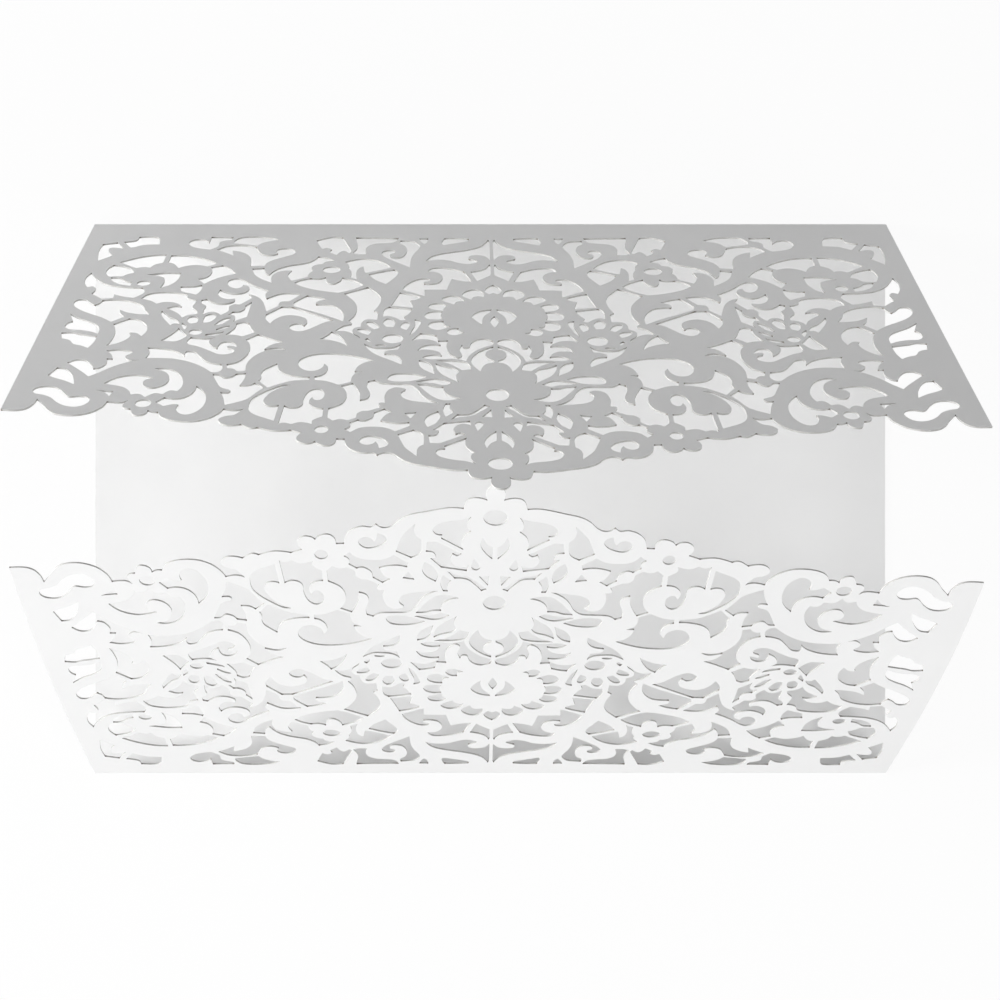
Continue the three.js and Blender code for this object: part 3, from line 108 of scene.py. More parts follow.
# Cuts next to the fold
fold_row = [
  [[0.4, 9.6], [0.7, 8.7, 1], [1.3, 10.2], [2.4, 12.0], [4.2, 13.3], [6.5, 14.3], [9, 15.1],
    [11.6, 16.1], [13.5, 17.5], [14.7, 19.9, 1], [13.2, 19.3], [11.2, 19.1], [9.2, 19.6],
    [7.3, 20.7],
    [5.6, 21.2], [4.1, 20.8], [3.2, 19.8], [5.1, 18.6, 1], [5.2, 17.6], [4.4, 16.8], [3.0, 16.7],
    [1.5, 17.3], [0.4, 19.2, 1]],
  [[0.4, 21.9], [0.65, 21.4, 1], [1.4, 23.1], [2.7, 24.2], [4.8, 25.0, 1], [3.4, 29.4, 1],
    [1.8, 27.9], [0.4, 26.6, 1]],
  [[5.1, 8.2, 1], [8, 7.8], [10.6, 7.9, 1], [11.2, 10.0], [10.9, 11.5, 1], [8.5, 10.7], [5.2, 9.3]],
  [[14.3, 8.0, 1], [16.4, 8.1, 1], [15.9, 9.8], [15.2, 10.9, 1], [14.5, 9.9]],
  [[16.1, 12.0], [16.9, 10.3], [18.1, 9.5], [20.6, 9.2, 1], [20.6, 10.9], [19.5, 12], [19, 14],
    [19.2, 16.0], [20.1, 17.7], [21.5, 18.1], [22.5, 17.6], [22.7, 16.4], [21.7, 15.8, 1],
    [21.7, 14.7], [22.9, 14.2], [24.2, 14.8], [24.6, 16.1], [23.7, 17.9], [22, 19.6],
    [18.1, 23.0, 1],
    [18, 19], [17.4, 16.1], [16.5, 13.9]],
  [[21, 7.9, 1], [30.8, 7.6, 1], [30.6, 9.4], [30.2, 11.5], [30.3, 13.6], [31.1, 15.7, 1],
    [29.8, 16.4], [27.9, 16.4, 1], [28.3, 13.8], [27.7, 12.0], [26.2, 10.9], [24, 10.6],
    [22, 10.0]],
  [[33.8, 7.7, 1], [36.5, 7.4], [39.7, 9.3, 1], [38.8, 12], [38.1, 13.8, 1], [37.0, 13.2],
    [35.9, 14.0, 1], [36.2, 15.4], [34.6, 16.9, 1], [34.0, 15.4], [33.1, 14.7], [31.9, 15.9, 1],
    [31.4, 15.1], [32.4, 11.8]],
  [[34.9, 19.8, 1], [36.5, 18.5], [38.6, 17.7, 1], [39.5, 19.6], [41.3, 21.1], [44.5, 22.3],
    [46.7, 23.8], [48.0, 25.6], [48.7, 27.1], [49.5, 26.0], [50.0, 23.7, 1], [52.6, 24.1, 1],
    [51.7, 27.1], [50, 29.2], [47.6, 31.0, 1], [48, 28.5], [47.5, 26.6], [46.1, 25.2],
    [43.9, 24.9, 1], [44.5, 27.3], [43.5, 29.9, 1], [40.2, 28.0, 1], [40, 26.4], [39.2, 25.0, 1],
    [39.7, 23.3], [38.9, 22.0], [37.3, 21.6, 1], [36.9, 20.5]],
  [[22.2, 23.1, 1], [23.6, 21.1], [25.6, 19.5], [28.3, 18.7], [30.8, 19.4], [32.5, 20.5, 1],
    [31.5, 22.2], [31.5, 23.5], [30.8, 25.4], [30.9, 28.0, 1], [29.3, 29.1, 1], [29.7, 27.0],
    [29.7, 25.0], [29.3, 23.6], [28.3, 22.7, 1], [28.1, 24.2], [27.8, 25.8, 1], [25, 24.7]],
  [[20.8, 26.9], [20.7, 25.3], [21.5, 24.1, 1], [24.2, 25.1], [27, 26.6, 1], [25.6, 29.0],
    [23.1, 31.2, 1], [21.7, 28.8]],
  [[27.8, 31.8, 1], [29.6, 29.9], [32.6, 28.2, 1], [33, 29.8], [34.3, 31.2], [35.6, 30.7],
    [36.2, 28.1, 1], [37.5, 28.8], [39.4, 28.6, 1], [41.3, 29.5], [42.8, 30.9, 1], [41.5, 32.3],
    [39, 33.8], [35.8, 34.9], [33, 35.5, 1], [30, 33.8]],
  [[43.9, 15.6], [44.5, 14.2], [46, 13.5], [47.6, 13.8], [48.3, 15.0], [47.8, 16.2, 1],
    [48.8, 17.0],
    [50.3, 17.0], [51.6, 16.1], [52.3, 14.6], [52.9, 12.9, 1], [55, 12.1], [57.5, 11.9],
    [59.8, 12.5], [61.7, 14.4, 1], [59.8, 15.7], [57.6, 17.4, 1], [57.9, 15.9], [58.1, 14.8, 1],
    [56.3, 15.4], [54.5, 16.9], [53.5, 19], [53.2, 22.8, 1], [50.1, 22.6, 1], [49.6, 20.9],
    [48.2, 19.3], [46, 17.8], [44.4, 16.7]],
  [[48.2, 9.0, 1], [50, 7.9], [52.5, 7.3], [55.2, 7.2], [57.2, 7.8], [58.3, 9.5], [58.2, 10.9, 1],
    [52.8, 12.1, 1], [51.9, 10.7], [50.3, 9.7]],
  [[58.8, 7.6, 1], [63.8, 7.4, 1], [63.9, 10.4, 1], [65, 9.2], [66.6, 8.7], [68.1, 9.4],
    [68.5, 11.1], [67.4, 12.8], [65.4, 13.8], [63.1, 14.3, 1], [61.6, 12.4], [61.6, 10.6],
    [60.7, 9.6], [59.2, 9.0]],
  [[75.8, 8.0], [77.5, 7.3], [80.3, 7.5, 1], [80.5, 9.1], [81.5, 9.8], [83.3, 10.3, 1],
    [81.2, 13.5, 1], [80.2, 12.9], [78.4, 11.9], [75.0, 11.6, 1]],
  [[84.7, 10.6, 1], [87.8, 11.6, 1], [88.0, 15.5], [87.2, 20.5, 1], [84.5, 17.7, 1], [85.7, 15.6],
    [85.9, 13.9], [84.9, 13.4], [82.6, 14, 1]],
  [[60.6, 21.6, 1], [62.4, 20.0], [64.5, 18.8], [67, 17.8], [69.5, 17.4], [71.4, 17.5, 1],
    [71.5, 21.0, 1], [70.2, 21.8], [69.4, 22.9], [68.9, 24.1, 1], [67.2, 22.9], [65, 22.4],
    [62.6, 23.2, 1]],
  [[72.5, 17.2, 1], [75, 17.3], [77.5, 18.1], [80, 19.5], [82.2, 21.2, 1], [78, 24.2, 1],
    [76.5, 23.6], [75, 24, 1], [74.3, 22.4], [72.6, 21.3, 1]],
  [[55.8, 26.7, 1], [57.3, 24.4], [59.3, 22.5, 1], [61.7, 23.5, 1], [61.2, 26.0], [61.9, 28.2],
    [63.7, 29.4, 1], [62.1, 31.8, 1], [60.6, 29.9], [58.7, 28.2]],
  [[67.8, 26.6, 1], [71, 26.5], [75.1, 27.4, 1], [72.8, 28.0], [71.1, 28.9, 1],
    [70.8, 31], [71.2, 33.9, 1], [69.3, 32.4], [68.1, 30]],
  [[78.1, 26.6, 1], [79, 24.6], [81, 23.4], [83.2, 22.6, 1], [84.1, 24.4], [84.2, 26.3],
    [83.3, 28.5, 1], [80.2, 28.4, 1], [79.4, 27.3]],
  [[77.7, 31.3, 1], [79.2, 30.6], [80.8, 29.2], [82.6, 29.0, 1], [81.8, 30.9], [80, 32.3],
    [77.7, 32.9, 1]],
]

# Cuts of the sunflower, the daisy and the leaves around them
middle_row = [
  [[2.1, 36.9, 1], [2.1, 35.3], [2.8, 34.0], [4.1, 33.4], [5.4, 33.9], [6.5, 35.2], [6.5, 36.6],
    [4.7, 38.2, 1], [4.3, 37.0], [3.2, 36.6]],
  [[6.1, 38.9, 1], [6.8, 37.5], [8, 36.6], [9.4, 36.5], [10.8, 37.5], [10.8, 38.7], [8.3, 40.4, 1],
    [8.0, 39.4], [7.2, 38.9]],
  [[9.8, 41.2, 1], [10.7, 40.1], [12, 39.9], [13.3, 40.4], [13.7, 41.6], [12.9, 42.6],
    [10.6, 43.3, 1], [10.5, 42.2]],
  [[10.7, 43.7, 1], [12.3, 43.5], [13.9, 44.2], [14.5, 45.5], [13.9, 46.8], [12.4, 47.1],
    [10.7, 46.9, 1], [11.1, 45.4]],
  [[10.5, 47.8, 1], [12, 47.9], [13.3, 48.7], [13.6, 50.0], [12.9, 51.2], [11.3, 51.6],
    [9.0, 50.1, 1], [10.2, 49.6]],
  [[7.4, 50.8, 1], [8.7, 50.9], [9.7, 52], [9.5, 53.2], [8.2, 53.8], [6.1, 52.6, 1], [7.2, 52.1]],
  [[0.5, 42.5, 1], [1.8, 42.7], [3.4, 43.6], [4.6, 45.4], [4.0, 47.2], [2.5, 49.1, 1], [2.5, 47],
    [2.0, 45.3], [0.9, 43.8]],
  [[6.2, 25.0, 1], [8.5, 23.7], [11.2, 23.0], [13.2, 23.3], [14.1, 24.9, 1], [12.3, 25.3],
    [11.1, 26.6], [10.9, 28.4], [11.7, 30.2], [13.2, 30.9], [14.8, 30.8, 1], [14.8, 30.0],
    [13.6, 29.4], [13.9, 28.6], [15.4, 28.4], [17.2, 29.5], [18.8, 31.8], [19.4, 33.9, 1],
    [14.6, 36.7, 1], [14.7, 33.7, 1], [9.9, 33.6, 1], [9.4, 30.8], [8.9, 28.5, 1], [6.6, 29.5],
    [4.5, 29.8, 1]],
  [[15.5, 37.2], [17.5, 36.0], [19.9, 35.1, 1], [20.6, 37.8], [21.6, 41.2, 1], [16.9, 42.0, 1],
    [17.2, 40.4], [17.6, 38.8, 1], [16.4, 38.4]],
  [[17.0, 42.9, 1], [19.5, 42.2], [21.9, 41.7, 1], [22.9, 43.0], [23.0, 46.2, 1], [21.6, 45.9],
    [20.2, 46.8], [19.4, 47.7, 1], [18.4, 47.4], [18.7, 46.1, 1], [17.8, 44.8]],
  [[26.8, 32.7, 1], [31.8, 35.9, 1], [30.2, 38.0], [29, 40.4], [28.6, 43], [29, 45.8],
    [30.1, 48.2, 1], [29.3, 49.4], [30.9, 50.3], [32, 51.6], [32.5, 52.7, 1], [30.7, 52.6],
    [29.2, 53.4], [27.3, 55.7, 1], [27.5, 54.8], [28.7, 53.4], [29, 52], [28.5, 51.1],
    [27.4, 50.6, 1], [27.3, 48.8], [26.3, 47.5], [24.2, 47.6, 1], [24.1, 44.4, 1], [25.0, 43.5, 1],
    [24.1, 41], [23.8, 38.3], [24.4, 36], [25.6, 34.2]],
  [[15.1, 48.0], [16.5, 47.2, 1], [16.3, 49.5], [16.9, 51.9], [17.3, 54, 1], [16.2, 52.3],
    [15.6, 50.4]],
  [[17.4, 49.8], [17.5, 48.7], [18.4, 48.4], [19.2, 49.4], [19.2, 50.9], [18.0, 51.8, 1]],
  [[20.4, 48.7], [21, 47.3], [22, 46.9], [22.8, 48], [22.8, 49.3], [22.2, 50.5, 1],
    [20.7, 50.6, 1]],
  [[23.5, 51.1, 1], [24.1, 49.6], [25.2, 48.5], [26.3, 48.6], [26.1, 50], [24.6, 51.7, 1]],
  [[25.3, 52.6], [26.2, 51.7], [27.9, 51.6], [27.9, 52.5], [27, 53.4], [25.7, 54.1, 1]],
  [[25.2, 57.2, 1], [25.1, 56.3], [25.8, 55.5, 1], [26.3, 56.1]],
  [[33.2, 52.9, 1], [33.9, 54.3], [35.3, 56.1, 1], [33, 56.6], [31, 57.6], [29.6, 58.9, 1],
    [30.2, 56.9], [31.6, 54.3]],
  [[31.2, 48.4, 1], [31.2, 45.7], [32.1, 43.2], [34, 41.3], [37.3, 40.9, 1], [37.4, 40.0],
    [36.6, 39.3], [35.3, 38.7, 1], [37.2, 37.6], [39.5, 36.9, 1], [42.0, 40.2], [41.8, 41.9, 1],
    [34.8, 45.9]],
  [[33.1, 48.1, 1], [42.1, 42.3, 1], [44.4, 42.2, 1], [47.3, 45.8, 1], [47.1, 47.8],
    [46.0, 49.7, 1], [45.3, 48.0], [44.1, 46.6], [42.4, 45.9], [40.4, 46.3], [38.9, 47.4],
    [38.5, 49.0], [39.0, 50.4, 1], [40.1, 49.5], [41.5, 50.0], [42.0, 51.3], [41.0, 52.6],
    [39.6, 52.9], [38.0, 52.0], [36.5, 50.5], [35.0, 49.0]],
  [[40.8, 36.4, 1], [43, 35.9], [45.3, 36.2], [47.9, 38.4, 1], [48.4, 36.6], [47.8, 34.9, 1],
    [50, 33.4], [52.2, 31.5], [53.8, 29.8], [55.3, 29.0], [56.8, 29.8], [57.1, 31.3], [56.5, 32.9],
    [55.1, 33.8], [53.9, 33.2], [53.7, 32.1, 1], [52.5, 32.7], [52.1, 34.0], [52.8, 35.6],
    [54.7, 36.4], [56.6, 35.9], [58.2, 34.5, 1], [58.5, 36.2], [57.8, 37.9], [56.3, 38.9],
    [54.6, 38.6, 1], [54.7, 40.0], [56.2, 41.0], [58.3, 40.9], [60.5, 39.0, 1], [61.5, 39.4, 1],
    [61.3, 40.9], [60.2, 42.1], [60.4, 43.5], [60.3, 46.1, 1], [59.2, 45.0], [57.8, 45.0],
    [56.6, 46.2, 1], [55.2, 44.2], [55.4, 42.5], [54.6, 41.4], [53.2, 41.4, 1], [51.0, 38.3, 1],
    [51.9, 36.6, 1], [50.2, 37.5], [48.8, 39.4], [48.0, 41.9], [47.4, 44.4, 1], [45.1, 41.9, 1],
    [45.1, 40.6], [44.6, 39.8], [43.0, 39.6, 1]],
  [[50.8, 40.1, 1], [52.0, 41.9, 1], [52.0, 43.3], [52.9, 44.5], [54.3, 44.7, 1], [55.2, 46.2, 1],
    [53.9, 46.3], [53.5, 47.4], [53.7, 49.1, 1], [51.1, 46.8, 1], [51.0, 43.8]],
  [[48.7, 53.6, 1], [49.5, 52.1], [50.3, 49.8, 1], [51.5, 49.2], [52.9, 50.0, 1], [53.0, 51.8],
    [54.5, 54.8, 1], [52.8, 54.8], [51.0, 55.4, 1]],
  [[54.3, 47.3], [55.5, 47.6], [56.6, 49.0], [57.4, 50.7, 1], [56.1, 50.4], [55, 49]],
  [[57.4, 46.8], [58.3, 45.7], [59.6, 46.4], [59.9, 48.0], [59.8, 49.6, 1], [58.7, 49.5],
    [57.8, 48.3]],
  [[60.9, 48.9], [61.2, 47.4], [62.2, 46.9], [63.1, 47.6], [63, 49.2], [62.3, 50.2, 1],
    [61.1, 49.8, 1]],
  [[53.9, 51.0], [54.9, 51.0], [56.7, 52.4, 1], [56.6, 53.0, 1], [55, 52.2]],
  [[54.9, 53.5, 1], [58.5, 54.7, 1], [58.6, 55.4, 1], [56.2, 55.0]],
  [[62.8, 51.3], [64.0, 49.9, 1], [63.9, 51.0], [63.1, 52.8, 1]],
  [[62.4, 39.6, 1], [64.4, 38.7], [65.1, 37.0], [67.1, 36.2], [69.5, 35.9], [71.7, 36.2],
    [73.4, 37.1], [74.3, 39.1, 1], [72.2, 40.0], [70.7, 41.4, 1], [69.3, 40.6], [67.6, 40.6],
    [66.2, 41.3], [65.2, 42.6, 1], [66.7, 42.4], [68.2, 43.4, 1], [66.4, 44.8], [65.1, 46.2],
    [64.4, 47.7, 1], [63.3, 46.4], [61.5, 45.9, 1], [61.8, 44.4], [62.9, 43.0], [62.8, 41.6]],
  [[62.2, 33.2], [62.5, 32.3, 1], [64, 33.0], [66.9, 33.2, 1], [66.5, 35.4, 1], [63.1, 37.0, 1],
    [62.4, 35.3]],
  [[69.0, 44.6, 1], [69.0, 45.8], [68.1, 48], [66.3, 50.9, 1], [65.6, 50.2], [64.4, 50.4, 1],
    [65.2, 48.7], [66.8, 47.5], [67.7, 46.4]],
  [[62.1, 55.4, 1], [64.3, 52.2, 1], [65.1, 54.3], [67.1, 57.6, 1], [64.4, 57.9], [63.2, 57.1]],
  [[74.2, 36.2], [74.9, 33.9, 1], [78, 33.7], [80.8, 33.2], [83, 32.2], [84.9, 30.6], [86.3, 28.6],
    [87.3, 26.7, 1], [88.0, 29.0], [87.7, 31.7], [86.7, 33.9, 1], [85.5, 33.5], [84.7, 34.7],
    [85.2, 37.0, 1], [84.0, 38.0], [82.7, 39.3, 1], [80.2, 39.0, 1], [80.4, 37.2, 1], [78.2, 38.2],
    [76, 38.8, 1]],
  [[71.2, 46.3, 1], [72.5, 44.4], [73.4, 42.3], [75.3, 40.8], [77.5, 39.9], [80, 39.6],
    [82.2, 40.0, 1], [82.6, 41.3], [83.4, 42.2, 1], [84.5, 41.2], [85.8, 39.8], [87.4, 39.8],
    [88, 41.2], [87.4, 43], [85.8, 44.7], [83.5, 46.3], [81, 47.8], [78.6, 49.8, 1],
    [76.2, 47.5, 1], [77.3, 46.0], [77.8, 44.3, 1], [76, 45.5], [73.8, 46.2]],
  [[80.2, 55.0, 1], [80.3, 53.0], [81.2, 51.2], [83, 49.8], [85.3, 48.4], [87.6, 46.4, 1],
    [86.4, 49.6, 1], [87.3, 50.6], [87.4, 52.2], [86.3, 53.3], [84.2, 53.5], [82, 54.1]],
  [[80.1, 56.2, 1], [82.3, 55.6], [84, 55.2], [85.5, 54.6], [87.6, 54.8, 1], [87.0, 57.2, 1],
    [85.2, 58.0], [84.2, 59.5], [82.6, 60.1], [81, 61.1, 1], [80.3, 58.8]],
  [[70.6, 53.6], [71, 51.2], [72, 49.7], [73.4, 48.6], [75.1, 48.2, 1], [77.9, 50.8, 1],
    [77.2, 52.5], [76.8, 54.8], [76.9, 57.3], [77.5, 60.1, 1], [75.5, 58.9], [74, 57.2],
    [73.5, 55.5], [73.9, 54.5, 1], [72.6, 54.5], [71.3, 55.8, 1]],
]

# Cuts of the big flower, the scrolls beside it and the corner leaf
outer_row = [
  [[0.45, 57.4], [0.6, 55.9, 1], [2.3, 55.1], [3.9, 55.7], [4.9, 57.1], [5.3, 58.7], [6.3, 58.8],
    [6.7, 57.7, 1], [7.2, 59.8], [6.7, 62.0], [7.5, 62.9], [8.7, 62.1], [9.5, 60.5], [9.8, 58.2],
    [9.5, 56.0, 1], [11.5, 56.2, 1], [11.9, 54.0, 1], [13.5, 53.4], [15.1, 53.1, 1], [16.0, 54.6],
    [16.9, 56.2, 1], [15, 55.6], [13.2, 55.8], [11.6, 56.9], [11.0, 57.9, 1], [13.0, 57.8],
    [14.7, 58.6], [15.6, 60.4, 1], [14.2, 59.9], [12.5, 60.1], [11.3, 60.9], [10.7, 62.2, 1],
    [12.3, 61.9], [13.8, 62.3], [14.6, 63.1, 1], [13.2, 63.8], [10.5, 63.6], [8, 63.5],
    [5.9, 64.3, 1], [5.3, 62.2], [4.1, 60.3], [2.3, 58.6]],
  [[0.45, 58.3, 1], [1.8, 59.1], [3.4, 60.6], [4.6, 62.6], [4.9, 64.6], [4.3, 66.4], [3.1, 68.2, 1],
    [2.7, 66.5], [1.8, 65.2], [0.45, 64.7, 1], [0.45, 63.9], [1.6, 63.0], [2.1, 61.6], [1.7, 60.2],
    [0.45, 59.3, 1]],
  [[4.9, 67.4, 1], [5.6, 65.0], [7.4, 64.3], [9.5, 64.1], [11.9, 64.2, 1], [9.8, 65.1],
    [8.1, 66.4], [6.8, 67.9, 1]],
  [[11.9, 65.3, 1], [11.7, 67.3], [10.8, 69.3], [9.4, 70.8], [7.3, 72.6, 1], [7.8, 70.9],
    [7.8, 69.5], [7.4, 68.5], [8.3, 67.2], [10.3, 66.4]],
  [[15.2, 64.2, 1], [15.1, 66.1], [14.2, 67.8], [11.9, 69.6, 1], [12.3, 67.8], [12.6, 66.2],
    [13.7, 64.8]],
  [[13.5, 70.8, 1], [15.5, 69.8], [18, 69.4], [20.2, 69.8], [21.1, 71.1], [20.8, 72.2],
    [18.9, 72.6],
    [17, 72.4], [15.3, 71.8]],
  [[8.7, 72.9, 1], [10.2, 71.7], [11.8, 71.3], [13.6, 71.7], [15.6, 72.5, 1], [13.5, 72.9],
    [11.8, 73.1], [10.2, 73.7]],
  [[15.3, 73.5, 1], [14.2, 75.3], [12.7, 77.5], [11.2, 78.9], [9.5, 79.3], [8.3, 79],
    [6.8, 78.4, 1], [8.7, 77.7], [10, 76.3], [10.3, 74.3, 1], [12, 74.2], [13.4, 73.6]],
  [[10.8, 80.5, 1], [13, 79.1], [14.4, 77.3], [15.4, 75.0], [17, 73.6], [19.5, 73.4], [22.2, 73.2],
    [23.6, 72.1, 1], [24.8, 72.7, 1], [24.9, 74.7], [24.2, 77.2], [24.6, 78.9], [26, 79.6, 1],
    [26.1, 77.5], [26.8, 75.3], [27.7, 73.4, 1], [29.9, 74.6, 1], [28.8, 76.6], [28.6, 78.9],
    [29.4, 81.1], [31.7, 82.8, 1], [31.7, 86.0, 1], [30.6, 87.2, 1], [29.3, 86.6], [27.9, 87.0, 1],
    [26.4, 85.9], [26.3, 84.6], [25.3, 83.6], [24.2, 83.5], [22.0, 82.2, 1], [22.4, 80.7],
    [21.2, 80.5, 1], [21.4, 78], [20.7, 75.7], [19.2, 74.8], [17.5, 75.4], [18.3, 76.6],
    [18.1, 78.3], [16.6, 79.5], [14, 80.1]],
  [[19.8, 83.8, 1], [21.3, 82.6, 1], [23.1, 84.1, 1], [23.4, 85.8], [24.8, 86.9], [26, 86.6, 1],
    [27.5, 87.8, 1], [27.3, 89], [28.3, 90, 1], [27.1, 91.1, 1], [25.8, 89.7], [24, 89.1],
    [21.8, 89.1], [20.2, 89.6], [19, 90.5, 1], [16.3, 88.5, 1], [16.5, 87.2, 1], [18.3, 87.6],
    [20.2, 87.4], [21.8, 86.8, 1], [21, 84.9]],
  [[15.2, 83.7, 1], [17.5, 84.1, 1], [16.3, 86.0, 1]],
  [[11.2, 83.2, 1], [13, 84.7], [13.7, 86.6], [13.1, 88.8, 1], [11.6, 87.4], [10.8, 85.2]],
  [[8.9, 80.4, 1], [9.8, 80.4, 1], [10.3, 82.7], [9.8, 85.2, 1], [8.3, 83.6, 1], [9, 82]],
  [[1.5, 81.2, 1], [2.5, 80.6, 1], [3.9, 82.6], [5.4, 84], [7.6, 84.2, 1], [8.9, 86.2, 1],
    [7, 85.2], [5, 84.7], [3.3, 83.1]],
  [[1.3, 82.3, 1], [3.0, 84.9, 1], [1.1, 85.1, 1]],
  [[2.7, 87.4], [3.5, 86.6], [4.4, 87.3], [3.9, 89.9, 1]],
  [[5.3, 86.4, 1], [10.1, 87.3, 1], [12.1, 89.8, 1], [11.0, 90.0, 1], [11.5, 91.3],
    [12.9, 91.6, 1], [12.6, 94.2, 1], [10.8, 94.2, 1], [6.2, 91.2, 1], [7.0, 90.5],
    [7.9, 91.0, 1], [8.3, 89.6], [7.9, 88.3], [6.6, 87.5], [5.0, 88.0, 1]],
  [[0.5, 89.8, 1], [1.5, 90.9], [2.4, 92.4], [2.7, 93.9], [2.3, 95.6, 1], [1.6, 94], [0.45, 93, 1]],
  [[5.9, 92.2, 1], [10.0, 95.1, 1], [9.8, 95.9, 1], [10.9, 96.1], [11.5, 97.2], [10.7, 98.6],
    [8.5, 99.5], [6.2, 99.9], [4.4, 100.7, 1], [5.1, 99.2], [5.1, 97.8], [4.4, 97.1, 1],
    [5.8, 95.6], [6.2, 93.8]],
  [[15.7, 89.8, 1], [18.5, 91.5, 1], [17.8, 93.7], [16.9, 96], [14.7, 98.7, 1], [14.9, 96.9],
    [14.5, 95.5], [13.7, 94.8, 1], [13.9, 91.3]],
  [[20.1, 94.4], [20.9, 93.2], [22.4, 92.4], [24, 92.2], [25.2, 93.2], [25.1, 94.6], [24, 95.2],
    [22.9, 94.8], [22.4, 94.0, 1], [21.9, 95.0], [21.7, 96.2, 1], [20.4, 95.5]],
  [[32.6, 82.9, 1], [34.2, 82.6], [35.3, 81.4], [35.5, 80.0], [35.0, 78.9, 1], [34.6, 79.8],
    [33.8, 80.0], [33.0, 79.2], [32.8, 77.8], [33.2, 76.4], [34.3, 75.7], [35.5, 76.3],
    [36.3, 77.9], [36.6, 79.7], [36.6, 81.4], [37.3, 82.5], [38.7, 82.8], [40.0, 82.1, 1],
    [40.5, 88.6, 1], [39.3, 88.2], [38.1, 88.7, 1], [36.5, 87.9], [34.2, 88.5, 1], [34.3, 87.2],
    [32.6, 85.8, 1]],
  [[41.0, 82.0, 1], [42.1, 82.4], [43.3, 82.1], [44, 80.8], [43.9, 79.5], [43, 77.5],
    [41.5, 75.8], [39.4, 74.5, 1], [41, 74.6], [43, 76.1], [44.9, 77.9], [46.3, 80], [46.6, 82.2],
    [46.3, 84.2], [45.1, 85.6], [43.3, 86.6], [41.4, 87.6, 1]],
  [[24.2, 64.6, 1], [26.5, 63.4], [29, 62.5], [32, 62.0], [34.8, 62.1], [37.2, 63.1], [38.7, 65.0],
    [38.5, 67.3], [37.2, 68.8], [35.4, 68.9], [34.1, 67.8], [33.7, 66.1, 1], [32.9, 67.4],
    [33.1, 69.3], [34.0, 70.6], [35.2, 71.1, 1], [35.1, 72.5, 1], [33, 72.8], [30.4, 74.2, 1],
    [28.1, 73.0, 1], [28.0, 71.2], [27.4, 69.7], [26.0, 68.9, 1], [27.6, 68.8, 1], [27.0, 66.8],
    [25.9, 65.5]],
  [[36.1, 71.4, 1], [38.5, 71.2], [40.8, 70.4], [42.2, 68.9], [42.9, 66.3, 1],
    [44.1, 67.5], [45.2, 68.8], [45.6, 70.3], [45.4, 71.8], [45.8, 73.1, 1], [43.8, 75.7, 1],
    [42, 74.4], [39.5, 73.0], [36.1, 72.4, 1]],
  [[44.5, 75.8, 1], [46.4, 73.9, 1], [47.5, 74.8], [49.2, 74.9, 1], [48.6, 72.7], [48.5, 70.2, 1],
    [50.4, 70.6, 1], [51.2, 71.7], [52.5, 72.1], [53.6, 71.0], [54.9, 70.9, 1], [53.8, 73.6],
    [52.7, 75.8], [50.7, 76.9], [51.1, 77.7], [52.6, 77.6, 1], [51.7, 79.6], [51.1, 82.3, 1],
    [48.9, 81.2], [47.2, 80.0], [46, 78]],
  [[42.5, 57.6, 1], [44.8, 56.4], [48.0, 54.4, 1], [50.2, 56.8, 1], [49.2, 58.5], [48.9, 61],
    [49.4, 63.6], [50.7, 65.8], [52.7, 66.9, 1], [52.4, 68.5, 1], [51.2, 68.6], [50.4, 69.6, 1],
    [48.8, 69.3, 1], [48.8, 66.5], [48.1, 64.2], [46.9, 62.3], [45.3, 61.0], [43.4, 60.7],
    [41.6, 60.9, 1], [43.3, 59.9], [46.0, 60.6, 1], [45.3, 59.3], [44.2, 58.3]],
  [[53.7, 66.9, 1], [55.3, 66.6], [56.8, 65.8], [58.2, 64.0], [59.5, 62.2], [61.0, 61.8],
    [61.5, 62.4], [61.3, 63.9, 1], [62.8, 62.3], [65, 61.2], [67.2, 60.7], [69.2, 60.6, 1],
    [68.5, 62.6], [68.9, 65.0, 1], [66, 64.8], [63, 65.1], [60, 66.2], [57.5, 67.9],
    [55.3, 70.1, 1],
    [54, 70.0], [53.3, 68.8]],
  [[56.3, 56.0, 1], [58.5, 56.5], [61.3, 56.0, 1], [61.8, 57.6], [61.4, 58.9], [59.4, 59.8],
    [57, 61.4], [55, 62.8], [53.3, 62.9], [52.0, 62.1], [52.2, 60.9], [53.4, 60.2], [53.4, 59.4],
    [51.6, 59.8, 1], [52.1, 58.5], [53.3, 57.7], [54.7, 57.9], [55.3, 59.2], [55.4, 60.5, 1],
    [56.7, 59.4], [57.4, 57.8], [57.2, 56.8]],
  [[18.9, 57.7, 1], [20.3, 59.0], [22.3, 59.4], [24.2, 59.3], [26.4, 57.8, 1], [25.3, 60.3],
    [23.6, 62.3], [21.3, 64.0], [18.6, 66.0, 1], [18.8, 63.8], [20, 62.3], [22.1, 61.8, 1],
    [22.0, 60.9], [21, 60.3], [19.5, 60.1, 1]],
  [[69.3, 65.3, 1], [71.2, 65.9], [72.4, 65.3], [72.9, 64.2], [71.8, 62.7], [73, 61.9], [75, 61.6],
    [77.1, 62.1, 1], [75.9, 63.5], [75.2, 65.3, 1], [76.4, 65.3, 1], [76.1, 67.2], [77.0, 68.9],
    [78.2, 69.3, 1], [79.0, 67.6], [80.4, 66.1], [82.2, 65.9], [83.7, 67.2, 1], [81.8, 69.0],
    [80, 70.8], [78.5, 72.5, 1], [76.6, 70.7], [74.8, 68.7], [72.3, 66.8]],
  [[80.6, 75.6, 1], [81.2, 73.2], [82.2, 71.1], [83.5, 69.6], [85.2, 69.2, 1], [86.3, 72.3, 1],
    [84.8, 73.2], [82.7, 74.2]],
  [[76.4, 81.6], [77.2, 80.2], [78.8, 79.9], [80.4, 80.2], [81.2, 79.6], [82.3, 78.1], [83.8, 76.8],
